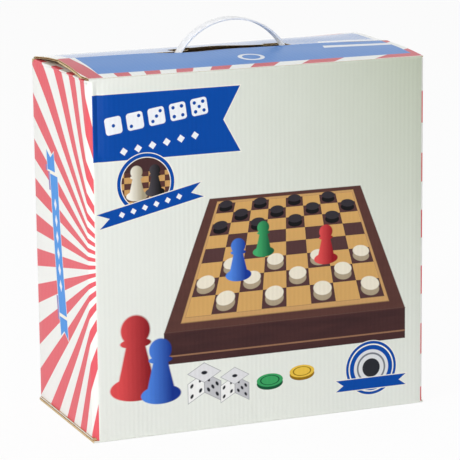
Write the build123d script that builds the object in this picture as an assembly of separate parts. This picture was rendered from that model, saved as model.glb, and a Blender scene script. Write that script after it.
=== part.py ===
from build123d import *
import os
from math import asin, atan, cos, degrees, floor, pi, radians, tan

# A games compendium in its retail carton.
#
# The carton is a slotted case of E-flute corrugated board that stands on its narrow base.
# Four walls fold at rounded creases. Two long flaps meet at a seam on the top, over two
# tapered dust flaps, and a springy plastic strap stands in two notches of the rear flap.
# Inside stands a wooden games chest on its back, so that its two pull-out game boards and
# its drawer open upwards, towards the seam, and its chess board faces the carton's front.
#
# Frame: origin in the middle of the base, +Z up, the carton's front faces -Y.
# Millimetres. The chest is modelled upright in its own frame (its front faces -Y) and is
# then laid into the carton by one placement.

# ---------------------------------------------------------------- playing pieces
piece_gap = 0.2  # between neighbouring pieces
draught_diameter = 24.0
draught_thickness = 4.8
draught_count = 12
draught_sides = 12
domino = (4.4, 32.0, 16.0)  # thickness, length, height as they stand on edge
domino_rows = 2
dominoes_in_row = 14
die_side = 11.0
dice_count = 5
man_base = 14.0
man_heights = (26.0, 24.0, 22.0, 20.0)  # from the back row to the pawns
men_in_rank = 4
man_sides = 8
card_pack = (62.0, 88.0, 17.0)
card_corner = 3.0
stick_length = 96.0
stick_diameter = 3.0
stick_sides = 6
sticks_in_row = 7
stick_rows = 2

# ---------------------------------------------------------------- drawer
compartment_play = 4.4  # beside the widest content of each column
divider_thickness = 4.0
divider_drop = 4.0  # below the top of the drawer's sides
drawer_front_height = 38.0
drawer_front_thickness = 9.0
drawer_side_thickness = 6.0
drawer_side_drop = 0.5  # below the top of the drawer's front
drawer_bottom_thickness = 3.0
drawer_bottom_groove = 2.0
drawer_bottom_lift = 3.0  # lower edge of the drawer's sides to its bottom
finger_slot_length = 46.0
finger_slot_height = 10.0

# ---------------------------------------------------------------- chest
overhang = 7.0  # of the top board over the front and the sides; it is flush at the back
side_thickness = 9.0
slide_clearance = 0.5  # beside the lippings and around the drawer
back_thickness = 5.0
back_gap = 5.0  # game boards and drawer stop short of the back panel
base_thickness = 5.0
rebate_depth = 3.0  # for the back and the base, and for the game boards' grooves
finger_bay = 11.0  # height of the gaps over the drawer and over each game board
game_board_thickness = 6.0
groove_clearance = 0.25  # above and below a game board in its groove
lipping_height = 12.0
lipping_thickness = 6.0
front_rail_height = 11.0
front_rail_thickness = 8.0
top_board_thickness = 10.0
top_board_round = 4.0
top_border = 20.0  # plain margin around the inlay
stringing_width = 3.0
veneer = 1.2
squares_in_row = 8
dowel_diameter = 6.0
dowel_sides = 12
dowel_in_top = 6.0
dowel_in_side = 14.0
dowel_count = 2  # in each side
dowel_margin = 36.0  # from the ends of the side

# ---------------------------------------------------------------- carton
board = 1.6  # thickness of the E-flute board
side_room = 5.8  # chest to the narrow walls
face_room = 4.4  # chest to the front and rear walls
floor_gap = 0.3  # chest to the bottom flaps
headroom = 9.1  # chest to the dust flaps
liner = 0.25  # outer and inner paper of the board
flute_pitch = 3.4  # wave length of the fluted medium
medium = 0.25  # paper of the waves
glue_line = 0.8  # flat crest of a wave on a liner
fold_radius = 3.0  # outside radius of the upright creases
crush_width = 3.0  # strip of crushed flutes along a flap's crease
seam_gap = 1.0  # between the two long top flaps
slot_inset = 2.5  # dust flaps stop this far from the front and rear creases
flap_end_inset = 2.0  # long top flaps stop short of the narrow walls' outside
front_seam_rise = 6.2  # how far the front flap's free edge stands over its crease
rear_seam_rise = 6.0  # the rear flap's edge lies behind it, a little lower
dust_flap_length = 62.0
dust_flap_taper = 21.0  # degrees on each side
glue_flap_width = 30.0
glue_flap_end_gap = 4.0  # glue flap stops short of the wall's ends
glue_flap_taper = 12.0

# ---------------------------------------------------------------- carry strap
strap_width = 11.0  # along Y
strap_thickness = 1.5
strap_radius = 49.5  # of the arch, to the middle of the strap
strap_rise = 28.4  # top of the arch over the top creases
strap_travel = 8.0  # how far the strap sinks when it is pressed down
strap_centre_x = 6.2
strap_front_gap = 1.0  # seam's middle to the strap's front edge
strap_edge_bevel = 0.35
anchor_length = 30.0  # foot plate under the rear flap, along X
anchor_thickness = 2.0
anchor_corner = 3.0
anchor_gap = 0.5  # foot plate to the underside of the flap
notch_clearance = 5.0  # beside the strap's leg, outside it and inside its sunken place
notch_end_gap = 6.0
seam_recess = 10.0  # the rear flap's edge is set back this far between the notches

# ---------------------------------------------------------------- what follows from them
past = 1.0  # how far a cutter reaches past the piece that it cuts
column_widths = [
    max(draught_count * (draught_thickness + piece_gap), card_pack[0]) + compartment_play,
    dominoes_in_row * (domino[0] + piece_gap) + compartment_play,
    men_in_rank * (man_base + 2 * piece_gap) + compartment_play,
]
drawer_inner_x = (sum(column_widths) + 2 * divider_thickness) / 2
drawer_x = drawer_inner_x + drawer_side_thickness
inner_x = drawer_x + slide_clearance  # inside of the chest's sides
outer_x = inner_x + side_thickness
half_side = outer_x + overhang
chest_side = 2 * half_side  # the square top board
field = chest_side - 2 * (top_border + stringing_width)  # the chess board
square = field / squares_in_row

lipping_drop = (lipping_height - game_board_thickness) / 2
lower_board_z = drawer_front_height + finger_bay + lipping_drop
upper_board_z = lower_board_z + game_board_thickness + finger_bay + 2 * lipping_drop
panel_top = upper_board_z + game_board_thickness + lipping_drop + finger_bay + front_rail_height
chest_height = panel_top + top_board_thickness
game_board_heights = {"lower": lower_board_z, "upper": upper_board_z}

carton_width = chest_side + 2 * (side_room + board)
carton_depth = chest_height + 2 * (face_room + board)
inner_floor = 2 * board
chest_rest = inner_floor + floor_gap
carton_height = chest_rest + chest_side + headroom + 2 * board
flap_length = (carton_depth - seam_gap) / 2
front_tilt = degrees(asin(front_seam_rise / flap_length))
rear_tilt = degrees(asin(rear_seam_rise / flap_length))
dust_flap_z = carton_height - board
arch_centre_z = carton_height + strap_rise - strap_thickness / 2 - strap_radius


def save(name, *solids):
    """Writes one node; several solids make a group of separate pieces."""
    shape = solids[0] if len(solids) == 1 else Compound(children=list(solids))
    export_step(shape, f"parts/{name}.step")


def block(x, y, z):
    """A box from its three (low, high) pairs."""
    middle = [(low + high) / 2 for low, high in (x, y, z)]
    return Pos(*middle) * Box(x[1] - x[0], y[1] - y[0], z[1] - z[0])


# ================================================================ carton walls
def carton_walls():
    """Four walls of one folded tube, parted in the middle of each rounded crease."""
    tube = RectangleRounded(carton_width, carton_depth, fold_radius) - RectangleRounded(
        carton_width - 2 * board, carton_depth - 2 * board, fold_radius - board
    )
    half_w, half_d = carton_width / 2, carton_depth / 2
    long_wedge = make_face(
        Polyline(
            (-half_w, -half_d), (half_w, -half_d), (half_w - half_d, 0), (half_d - half_w, 0), close=True
        )
    )
    short_wedge = make_face(Polyline((-half_w, -half_d), (half_d - half_w, 0), (-half_w, half_d), close=True))
    long_wall = extrude(tube & long_wedge, carton_height - 2 * board)
    short_wall = extrude(tube & short_wedge, carton_height - 4 * board)
    return {
        "front_panel": Pos(0, 0, board) * long_wall,
        "rear_panel": Pos(0, 0, board) * Rot(0, 0, 180) * long_wall,
        "left_panel": Pos(0, 0, 2 * board) * short_wall,
        "right_panel": Pos(0, 0, 2 * board) * Rot(0, 0, 180) * short_wall,
    }


def glue_flap():
    """The tube's closing tab with its cut-back ends, glued inside the right wall at the rear corner."""
    inner_face_x = carton_width / 2 - board
    root_y = carton_depth / 2 - fold_radius
    free_y = root_y - glue_flap_width
    low = inner_floor + glue_flap_end_gap
    high = carton_height - low
    tab = make_face(
        Polyline(
            (root_y, low), (root_y, high), (free_y, high - glue_flap_taper), (free_y, low + glue_flap_taper),
            close=True,
        )
    )
    return extrude(Plane.YZ.offset(inner_face_x - board) * tab, board)


# ================================================================ flaps
def flute_medium(width, length):
    """The waved paper between the liners: one zigzag sheet whose crests are glued flat to them."""
    top, bottom = -liner, liner - board
    waves = floor(width / flute_pitch)
    first = -waves * flute_pitch / 2
    glue, half = glue_line / 2, flute_pitch / 2
    upper, lower = [], []
    for x in (first + n * flute_pitch for n in range(waves)):
        upper += [(x, bottom + medium), (x + half - glue, top), (x + half + glue, top)]
        lower += [(x, bottom), (x + glue, bottom), (x + half, top - medium), (x + flute_pitch - glue, bottom)]
    upper.append((-first, bottom + medium))
    lower.append((-first, bottom))
    outline = Wire.make_polygon([(x, crush_width, z) for x, z in upper + lower[::-1]], close=True)
    return extrude(Face(outline), length - crush_width, dir=(0, 1, 0))


def creased_root(width):
    """The crushed strip along a flap's crease, its outer edge broken where the paper turns over."""
    strip = block((-width / 2, width / 2), (0, crush_width), (-board, 0))
    crease = strip.edges().filter_by(Axis.X).sort_by(lambda e: e.center().Z - e.center().Y)[-1]
    return chamfer(crease, board / 2)


def fluted_flap(width, length):
    """A flap of open board: crease along X at y 0, free edge at y length, outside face at z 0.

    The outer liner, the medium, the inner liner and the crushed root are its glued layers."""
    half = width / 2
    outer = block((-half, half), (crush_width, length), (-liner, 0))
    inner = block((-half, half), (crush_width, length), (-board, liner - board))
    return [outer, flute_medium(width, length), inner, creased_root(width)]


def plain_flap(width, length):
    """A flap whose flutes nobody sees: the same outline, solid."""
    plate = block((-width / 2, width / 2), (crush_width, length), (-board, 0))
    return plate + creased_root(width)


def dust_flap_trim(width):
    """Two wedges that taper a dust flap towards its free edge."""
    root, end = width / 2, dust_flap_length + past
    slant = end * tan(radians(dust_flap_taper))
    corners = ((root, 0), (root + past, 0), (root + past, end), (root - slant, end))
    wedge = make_face(Polyline(*corners, close=True))
    right = Pos(0, 0, -board - past) * extrude(wedge, board + 2 * past)
    return [right, mirror(right, Plane.YZ)]


def leg_reach(z):
    """From the arch's middle to the middle of its leg at a height, along X."""
    return (strap_radius**2 - (z - arch_centre_z) ** 2) ** 0.5


def strap_notches():
    """Two notches in the rear flap's free edge and the set-back edge between, in the flap's frame."""
    seam_z = carton_height + rear_seam_rise
    outer = leg_reach(seam_z) + notch_clearance
    inner = leg_reach(seam_z + strap_travel) - notch_clearance
    depth = strap_front_gap - seam_gap / 2 + strap_width + notch_end_gap
    cuts = ((-outer, -inner, depth), (-inner, inner, seam_recess), (inner, outer, depth))
    return [
        block(
            (low - strap_centre_x, high - strap_centre_x),
            (flap_length - reach, flap_length + past),
            (-board - past, past),
        )
        for low, high, reach in cuts
    ]


def top_flaps():
    half_w, half_d = carton_width / 2, carton_depth / 2
    long_flap = fluted_flap(carton_width - 2 * flap_end_inset, flap_length)
    rear_flap = [layer - strap_notches() for layer in long_flap]
    dust_width = carton_depth - 2 * slot_inset
    trim = dust_flap_trim(dust_width)
    dust_flap = [layer - trim for layer in fluted_flap(dust_width, dust_flap_length)]
    places = {
        "top_front_flap": (Pos(0, -half_d, carton_height) * Rot(front_tilt, 0, 0), long_flap),
        "top_rear_flap": (Pos(0, half_d, carton_height) * Rot(0, 0, 180) * Rot(rear_tilt, 0, 0), rear_flap),
        "top_left_dust_flap": (Pos(-half_w, 0, dust_flap_z) * Rot(0, 0, -90), dust_flap),
        "top_right_dust_flap": (Pos(half_w, 0, dust_flap_z) * Rot(0, 0, 90), dust_flap),
    }
    return {name: [place * layer for layer in layers] for name, (place, layers) in places.items()}


def bottom_flaps():
    """The base: the long flaps are outside, glued to the dust flaps over them."""
    half_w, half_d = carton_width / 2, carton_depth / 2
    upside_down = Rot(0, 180, 0)
    long_flap = upside_down * plain_flap(carton_width, flap_length)
    dust_flap = upside_down * plain_flap(carton_depth - 2 * slot_inset, dust_flap_length)
    return {
        "bottom_front_flap": Pos(0, -half_d, 0) * long_flap,
        "bottom_rear_flap": Pos(0, half_d, 0) * Rot(0, 0, 180) * long_flap,
        "bottom_left_dust_flap": Pos(-half_w, 0, board) * Rot(0, 0, -90) * dust_flap,
        "bottom_right_dust_flap": Pos(half_w, 0, board) * Rot(0, 0, 90) * dust_flap,
    }


# ================================================================ carry strap
def carry_strap():
    """A springy moulded strap, bent into an arch that stands on two foot plates."""
    rear_edge = strap_front_gap + strap_width
    rise_there = (carton_depth / 2 - rear_edge) * tan(radians(rear_tilt))
    flap_underside = carton_height + rise_there - board / cos(radians(rear_tilt))
    foot_z = flap_underside - anchor_gap - anchor_thickness
    middle_y = strap_front_gap + strap_width / 2
    end_z = foot_z + anchor_thickness / 2
    left, right = strap_centre_x - leg_reach(end_z), strap_centre_x + leg_reach(end_z)

    path = ThreePointArc(
        (left, middle_y, end_z),
        (strap_centre_x, middle_y, arch_centre_z + strap_radius),
        (right, middle_y, end_z),
    )
    section = chamfer(Rectangle(strap_width, strap_thickness).vertices(), strap_edge_bevel)
    strap = sweep(Plane(path @ 0, x_dir=(0, 1, 0), z_dir=path % 0) * section, path)
    foot = extrude(RectangleRounded(anchor_length, strap_width, anchor_corner), anchor_thickness)
    return strap + [Pos(x, middle_y, foot_z) * foot for x in (left, right)]


# ================================================================ chest carcass (upright frame)
front_y = overhang - half_side
back_y = half_side
back_face_y = back_y - back_thickness


def dowel_places():
    """(x, y) of the dowels that hold the top board on the two side panels."""
    step = (chest_side - overhang - 2 * dowel_margin) / (dowel_count - 1)
    x = outer_x - side_thickness / 2
    return [(side * x, front_y + dowel_margin + n * step) for side in (-1, 1) for n in range(dowel_count)]


def dowel_rods(section):
    rod = extrude(section, dowel_in_top + dowel_in_side)
    return [Pos(x, y, panel_top - dowel_in_side) * rod for x, y in dowel_places()]


def dowels():
    """Grooved pins, drawn with flat sides that touch their round holes."""
    return dowel_rods(RegularPolygon(dowel_diameter / 2, dowel_sides))


def dowel_holes():
    return dowel_rods(Circle(dowel_diameter / 2))


def top_board():
    slab = block((-half_side, half_side), (-half_side, half_side), (panel_top, chest_height))
    rim = slab.edges().filter_by(Axis.Z, reverse=True)
    slab = fillet(rim, top_board_round)
    recess_half = field / 2 + stringing_width
    recess = block(
        (-recess_half, recess_half), (-recess_half, recess_half), (chest_height - veneer, chest_height + past)
    )
    return slab - [recess, *dowel_holes()]


def chess_squares(parity):
    tile = Box(square, square, veneer)
    first = (square - field) / 2
    z = chest_height - veneer / 2
    places = [(col, row) for row in range(squares_in_row) for col in range(squares_in_row)]
    return [Pos(first + c * square, first + r * square, z) * tile for c, r in places if (r + c) % 2 == parity]


def stringing():
    rim = Rectangle(field + 2 * stringing_width, field + 2 * stringing_width) - Rectangle(field, field)
    return Pos(0, 0, chest_height - veneer) * extrude(rim, veneer)


def groove_band(height):
    return (height - groove_clearance, height + game_board_thickness + groove_clearance)


def side_panel():
    """The right-hand side: grooves for the game boards, rebates for the back and the base."""
    panel = block((inner_x, outer_x), (front_y, back_y), (0, panel_top))
    cut_x = (inner_x - past, inner_x + rebate_depth)
    cuts = [block(cut_x, (front_y - past, back_face_y), groove_band(z)) for z in game_board_heights.values()]
    cuts.append(block(cut_x, (back_face_y, back_y + past), (-past, panel_top + past)))
    cuts.append(block(cut_x, (front_y + drawer_front_thickness, back_face_y), (-past, base_thickness)))
    return panel - [*cuts, *dowel_holes()]


def back_panel():
    x = inner_x + rebate_depth
    return block((-x, x), (back_face_y, back_y), (0, panel_top))


def base_panel():
    x = inner_x + rebate_depth
    return block((-x, x), (front_y + drawer_front_thickness, back_face_y), (0, base_thickness))


def front_rail():
    z = (panel_top - front_rail_height, panel_top)
    return block((-inner_x, inner_x), (front_y, front_y + front_rail_thickness), z)


# ================================================================ game boards and drawer
def game_board(height):
    x = inner_x + rebate_depth - groove_clearance
    return block(
        (-x, x),
        (front_y + lipping_thickness, back_face_y - back_gap),
        (height, height + game_board_thickness),
    )


def lipping(height):
    """The front edge of a game board, with a scooped underside for the fingertips."""
    x = inner_x - slide_clearance
    low = height - lipping_drop
    strip = block((-x, x), (front_y, front_y + lipping_thickness), (low, low + lipping_height))
    long_edges = strip.edges().filter_by(Axis.X).group_by(Axis.Y)[0]
    return fillet(long_edges, lipping_thickness / 4)


drawer_z = base_thickness + slide_clearance
drawer_side_top = drawer_front_height - drawer_side_drop
drawer_front_inner_y = front_y + drawer_front_thickness
drawer_end_y = back_face_y - back_gap
drawer_back_inner_y = drawer_end_y - drawer_side_thickness
drawer_floor = drawer_z + drawer_bottom_lift + drawer_bottom_thickness


def drawer_groove():
    """The space of the drawer's bottom, let into the front, the sides and the back."""
    reach = drawer_bottom_groove
    return block(
        (-drawer_inner_x - reach, drawer_inner_x + reach),
        (drawer_front_inner_y - reach, drawer_back_inner_y + reach),
        (drawer_z + drawer_bottom_lift, drawer_floor),
    )


def drawer_front():
    z = (slide_clearance, drawer_front_height)
    face = block((-drawer_x, drawer_x), (front_y, drawer_front_inner_y), z)
    outline = SlotOverall(finger_slot_length, finger_slot_height)
    slot = Rot(-90, 0, 0) * extrude(outline, drawer_front_thickness + 2 * past)
    slot_z = (drawer_floor + drawer_front_height) / 2
    return face - [Pos(0, front_y - past, slot_z) * slot, drawer_groove()]


def drawer_side():
    wall = block(
        (drawer_inner_x, drawer_x),
        (drawer_front_inner_y, drawer_end_y),
        (drawer_z, drawer_side_top),
    )
    return wall - drawer_groove()


def drawer_back():
    wall = block(
        (-drawer_inner_x, drawer_inner_x),
        (drawer_back_inner_y, drawer_end_y),
        (drawer_z, drawer_side_top),
    )
    return wall - drawer_groove()


divider_xs = (
    column_widths[0] + divider_thickness / 2 - drawer_inner_x,
    drawer_inner_x - column_widths[2] - divider_thickness / 2,
)
divider_y = (drawer_front_inner_y + drawer_back_inner_y) / 2
divider_z = (drawer_floor, drawer_side_top - divider_drop)


def long_divider():
    """Runs from side to side, halved from above over the cross dividers."""
    t = divider_thickness / 2
    strip = block((-drawer_inner_x, drawer_inner_x), (divider_y - t, divider_y + t), divider_z)
    half = (sum(divider_z) / 2, divider_z[1] + past)
    return strip - [block((x - t, x + t), (divider_y - t, divider_y + t), half) for x in divider_xs]


def cross_dividers():
    t = divider_thickness / 2
    half = (divider_z[0] - past, sum(divider_z) / 2)
    return [
        block((x - t, x + t), (drawer_front_inner_y, drawer_back_inner_y), divider_z)
        - block((x - t, x + t), (divider_y - t, divider_y + t), half)
        for x in divider_xs
    ]


# ================================================================ playing pieces
def compartment(column, row):
    """Inside of one of the drawer's six compartments: ((low, high) in X, (low, high) in Y)."""
    t = divider_thickness / 2
    xs = [-drawer_inner_x, divider_xs[0], divider_xs[1], drawer_inner_x]
    x = (xs[column] + (t if column else 0), xs[column + 1] - (t if column < 2 else 0))
    y = (drawer_front_inner_y, divider_y - t) if row == 0 else (divider_y + t, drawer_back_inner_y)
    return x, y


def draughts(row_from_back):
    """Twelve discs standing in a roll, against the drawer's back."""
    (x_low, x_high), (_, y_back) = compartment(0, 1)
    radius = draught_diameter / 2
    step = draught_thickness + piece_gap
    y = y_back - piece_gap - radius - row_from_back * (draught_diameter + piece_gap)
    first_x = (x_low + x_high) / 2 - (draught_count - 1) * step / 2
    rim = RegularPolygon(radius, draught_sides, major_radius=False, rotation=180 / draught_sides)
    disc = Rot(0, 90, 0) * Pos(0, 0, -draught_thickness / 2) * extrude(rim, draught_thickness)
    z = drawer_floor + piece_gap + radius
    return [Pos(first_x + n * step, y, z) * disc for n in range(draught_count)]


def domino_set():
    (x_low, x_high), (_, y_back) = compartment(1, 1)
    thickness, length, height = domino
    step = thickness + piece_gap
    first_x = (x_low + x_high - (dominoes_in_row - 1) * step) / 2
    tile = Box(thickness, length, height)
    return [
        Pos(
            first_x + n * step,
            y_back - piece_gap - length / 2 - row * (length + piece_gap),
            drawer_floor + piece_gap + height / 2,
        )
        * tile
        for row in range(domino_rows)
        for n in range(dominoes_in_row)
    ]


def chess_man(height):
    """A man with flat sides: a base, a waist and a head, each a tapered band."""
    r = man_base / 2
    bands = ((r, 0.5 * r, 0.30), (0.5 * r, 0.4 * r, 0.62), (0.7 * r, 0.3 * r, 1.0))
    man, level = Part(), 0.0
    for low_r, high_r, top in bands:
        rise = (top - level) * height
        lean = degrees(atan((low_r - high_r) * cos(pi / man_sides) / rise))
        man += Pos(0, 0, level * height) * extrude(RegularPolygon(low_r, man_sides), rise, taper=lean)
        level = top
    return man


def chess_men(row):
    """Sixteen men of one colour in four ranks."""
    (x_low, x_high), (_, y_high) = compartment(2, row)
    step = man_base + 2 * piece_gap
    first_x = (x_low + x_high - (men_in_rank - 1) * step) / 2
    z = drawer_floor + piece_gap
    men = []
    for rank, height in enumerate(man_heights):
        man = chess_man(height)
        y = y_high - piece_gap - man_base / 2 - rank * step
        men += [Pos(first_x + n * step, y, z) * man for n in range(men_in_rank)]
    return men


def playing_cards():
    (x_low, x_high), (_, y_high) = compartment(0, 0)
    width, length, height = card_pack
    middle = (x_low + x_high) / 2
    pack = block(
        (middle - width / 2, middle + width / 2),
        (y_high - piece_gap - length, y_high - piece_gap),
        (drawer_floor + piece_gap, drawer_floor + piece_gap + height),
    )
    return fillet(pack.edges().filter_by(Axis.Z), card_corner)


def pick_up_sticks():
    (x_low, _), (_, y_high) = compartment(1, 0)
    step = stick_diameter + piece_gap
    section = RegularPolygon(stick_diameter / 2, stick_sides)
    stick = Rot(90, 0, 0) * extrude(section, stick_length / 2, both=True)
    y = y_high - piece_gap - stick_length / 2
    return [
        Pos(x_low + (n + 0.6) * step, y, drawer_floor + (level + 0.6) * step) * stick
        for level in range(stick_rows)
        for n in range(sticks_in_row)
    ]


def dice():
    (_, x_high), (_, y_high) = compartment(1, 0)
    step = die_side + piece_gap
    die = chamfer(Box(die_side, die_side, die_side).edges().filter_by(Axis.Z), die_side / 10)
    x = x_high - piece_gap - die_side / 2
    return [
        Pos(x, y_high - piece_gap - die_side / 2 - n * step, drawer_floor + piece_gap + die_side / 2) * die
        for n in range(dice_count)
    ]


# ================================================================ chest in the carton
def packed():
    """The chest's placement: on its back, chess board to the carton's front, centred in depth."""
    lay_back = Rot(90, 0, 0) * Rot(0, 0, 180)
    return Pos(0, chest_height / 2, chest_rest + half_side) * lay_back


def chest_nodes():
    """Every node of the chest, upright, as a list of its solids."""
    right_side = side_panel()
    right_drawer_side = drawer_side()
    nodes = {
        "chest_top_board": [top_board()],
        "chess_squares_light": chess_squares(0),
        "chess_squares_dark": chess_squares(1),
        "inlay_stringing": [stringing()],
        "chest_left_side": [mirror(right_side, Plane.YZ)],
        "chest_right_side": [right_side],
        "chest_back_panel": [back_panel()],
        "chest_base_panel": [base_panel()],
        "chest_front_rail": [front_rail()],
        "carcass_dowels": dowels(),
        "drawer_front": [drawer_front()],
        "drawer_left_side": [mirror(right_drawer_side, Plane.YZ)],
        "drawer_right_side": [right_drawer_side],
        "drawer_back": [drawer_back()],
        "drawer_bottom": [drawer_groove()],
        "drawer_long_divider": [long_divider()],
        "drawer_cross_dividers": cross_dividers(),
        "draughts_light": draughts(0),
        "draughts_dark": draughts(1),
        "dominoes": domino_set(),
        "chess_men_light": chess_men(1),
        "chess_men_dark": chess_men(0),
        "playing_cards": [playing_cards()],
        "pick_up_sticks": pick_up_sticks(),
        "dice": dice(),
    }
    for level, height in game_board_heights.items():
        nodes[f"{level}_game_board"] = [game_board(height)]
        nodes[f"{level}_board_lipping"] = [lipping(height)]
    return nodes


os.makedirs("parts", exist_ok=True)
for name, solid in {**carton_walls(), **bottom_flaps()}.items():
    save(name, solid)
for name, layers in top_flaps().items():
    save(name, *layers)
save("glue_flap", glue_flap())
save("carry_strap", carry_strap())
placement = packed()
for name, solids in chest_nodes().items():
    save(name, *[placement * solid for solid in solids])
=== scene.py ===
from math import asin, ceil, cos, pi, radians, sin
import bmesh
import bpy
from mathutils import Matrix, Vector


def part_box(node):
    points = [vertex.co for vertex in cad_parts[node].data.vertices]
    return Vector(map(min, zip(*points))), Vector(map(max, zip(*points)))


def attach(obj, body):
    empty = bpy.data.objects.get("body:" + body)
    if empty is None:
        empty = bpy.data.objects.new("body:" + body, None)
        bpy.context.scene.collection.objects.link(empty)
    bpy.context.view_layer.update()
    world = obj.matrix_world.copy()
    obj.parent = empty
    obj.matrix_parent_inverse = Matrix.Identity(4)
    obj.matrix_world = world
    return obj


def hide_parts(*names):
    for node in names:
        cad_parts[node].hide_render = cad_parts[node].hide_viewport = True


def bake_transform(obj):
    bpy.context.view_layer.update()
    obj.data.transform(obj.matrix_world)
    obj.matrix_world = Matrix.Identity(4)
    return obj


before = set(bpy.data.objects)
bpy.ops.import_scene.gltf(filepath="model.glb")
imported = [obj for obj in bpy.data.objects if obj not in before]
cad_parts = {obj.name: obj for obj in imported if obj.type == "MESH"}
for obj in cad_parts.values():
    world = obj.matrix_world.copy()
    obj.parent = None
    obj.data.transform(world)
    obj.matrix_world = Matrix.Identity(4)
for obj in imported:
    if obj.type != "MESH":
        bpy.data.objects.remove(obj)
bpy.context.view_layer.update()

# ================================================================ camera
# A long lens, a little above the carton's top and to the left of its front.
# Azimuth and elevation say where the camera stands, and roll how far it leans.
mm = 0.001
camera_place = Vector((-699.7, -1739.7, 534.5)) * mm
azimuth, elevation, roll = radians(-21.945), radians(12.06), radians(-0.628)
back = Vector((sin(azimuth) * cos(elevation), -cos(azimuth) * cos(elevation), sin(elevation)))
level = (-back).cross(Vector((0, 0, 1))).normalized()
upright = back.cross(level)
camera_x = cos(roll) * level + sin(roll) * upright
camera_y = cos(roll) * upright - sin(roll) * level
turn = Matrix((camera_x, camera_y, back)).transposed()
bpy.ops.object.camera_add(location=camera_place, rotation=turn.to_euler())
camera = bpy.context.object
camera.data.sensor_width = 36
camera.data.lens = 198.75
camera.data.clip_end = 20
bpy.context.scene.camera = camera

# ================================================================ carton walls
# One sheet of E-flute board, folded into a tube. A clay-coated white liner carries the print
# outside, a kraft liner lines the inside, and waved kraft paper runs up and down between them.
# The front left corner is blunted, where the board was creased twice; the others are softly round.
board = 1.6 * mm
liner = 0.25 * mm
flute_pitch = 3.45  # mm, as the print's ridges show
wall_step = 9 * mm
round_corner = 1.6 * mm
blunt_front, blunt_side = 3.5 * mm, 6.0 * mm
blunt_fade = 2.0 * mm  # the blunt corner is sharper at the base
valley_x, valley_end = -124.3 * mm, -121.0 * mm  # a second fold beside the blunt corner, near the top
valley_levels, valley_step = (198, 212, 226, 240), 0.65 * mm  # it deepens by a step over each level, in mm
long_crease, dust_crease = 1.5 * mm, 2.2 * mm  # outside radii of the creases along the top
ray_step = 4.886  # degrees from one ray's edge to the next
left_sun = (95.25, 134.7, 67.77)  # mm beyond the middle, mm up, and the angle of the first ray
right_sun = (186.0, 139.3, 65.96)


class Wire:
    """A socket in a material. Sums on wires add Math nodes, and any other node comes from node()."""

    def __init__(self, tree, socket=None):
        self.tree = tree
        self.socket = socket

    def node(self, kind, settings=None, values=None, output=0):
        made = self.tree.nodes.new(kind)
        for key, value in (settings or {}).items():
            if key == "stops":
                stops = made.color_ramp.elements
                for element, (position, colour) in zip([*stops, *(stops.new(1) for _ in value[2:])], value):
                    element.position, element.color = position, colour
            else:
                setattr(made, key, value)
        for key, value in (values or {}).items():
            if isinstance(value, Wire):
                self.tree.links.new(value.socket, made.inputs[key])
            else:
                made.inputs[key].default_value = value
        return Wire(self.tree, made.outputs[output] if made.outputs else None)

    def math(self, operation, *values, clamp=False):
        settings = {"operation": operation, "use_clamp": clamp}
        return self.node("ShaderNodeMath", settings, dict(enumerate((self, *values))))

    def reflected(self, operation, other):
        return self.node("ShaderNodeMath", {"operation": operation}, {0: other, 1: self})

    def __add__(self, other):
        return self.math("ADD", other)

    def __sub__(self, other):
        return self.math("SUBTRACT", other)

    def __rsub__(self, other):
        return self.reflected("SUBTRACT", other)

    def __mul__(self, other):
        return self.math("MULTIPLY", other)

    def __truediv__(self, other):
        return self.math("DIVIDE", other)

    def __rtruediv__(self, other):
        return self.reflected("DIVIDE", other)

    def __mod__(self, other):
        return self.math("FLOORED_MODULO", other)

    def __pow__(self, other):
        return self.math("POWER", other)

    def __neg__(self):
        return self.math("MULTIPLY", -1.0)

    def __abs__(self):
        return self.math("ABSOLUTE")

    def __or__(self, other):
        """Two shapes together: the smaller distance."""
        return self.math("MINIMUM", other)

    def __and__(self, other):
        """What two shapes share: the larger distance."""
        return self.math("MAXIMUM", other)

    __radd__ = __add__
    __rmul__ = __mul__

    def inside(self, softness=0.15):
        """1 where a distance in mm is negative, 0 where it is positive."""
        return self.math("MULTIPLY_ADD", -0.5 / softness, 0.5, clamp=True)

    def mix(self, other, share, blend="MIX"):
        """This colour, covered by the other one where share is 1."""
        settings = {"data_type": "RGBA", "blend_type": blend}
        return self.node("ShaderNodeMix", settings, {0: share, 6: self, 7: other}, 2)

    def between(self, start, end):
        """A colour between two inks, by this share of the second."""
        return self.node("ShaderNodeMix", {"data_type": "RGBA"}, {0: self, 6: start, 7: end}, 2)

    def noise(self, scale, detail=3.0, stretch=(1, 1, 1)):
        """Clouds from 0 to 1 about this place, with so many to the metre."""
        place = self.node("ShaderNodeMapping", {}, {"Vector": self, "Scale": stretch})
        return self.node("ShaderNodeTexNoise", {}, {"Vector": place, "Scale": scale, "Detail": detail})

    def grey(self):
        return self.node("ShaderNodeCombineColor", {}, {0: self, 1: self, 2: self})


def ink(red, green, blue):
    """A colour as printed, 0 to 255, in Blender's linear numbers."""
    shares = [value / 255 for value in (red, green, blue)]
    return (*(((s + 0.055) / 1.055) ** 2.4 if s > 0.04 else s / 12.92 for s in shares), 1.0)


def new_material(name):
    """A material's Wire to hang nodes on, its object coordinates, and x, y and z in mm."""
    material = bpy.data.materials.new(name)
    material.use_nodes = True
    material.node_tree.nodes.clear()
    root = Wire(material.node_tree)
    place = root.node("ShaderNodeTexCoord", output="Object")
    scaled = root.node("ShaderNodeVectorMath", {"operation": "SCALE"}, {0: place, "Scale": 1000.0})
    parts = root.node("ShaderNodeSeparateXYZ", {}, {0: scaled}).socket.node.outputs
    return material, root, place, [Wire(root.tree, part) for part in parts]


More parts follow.
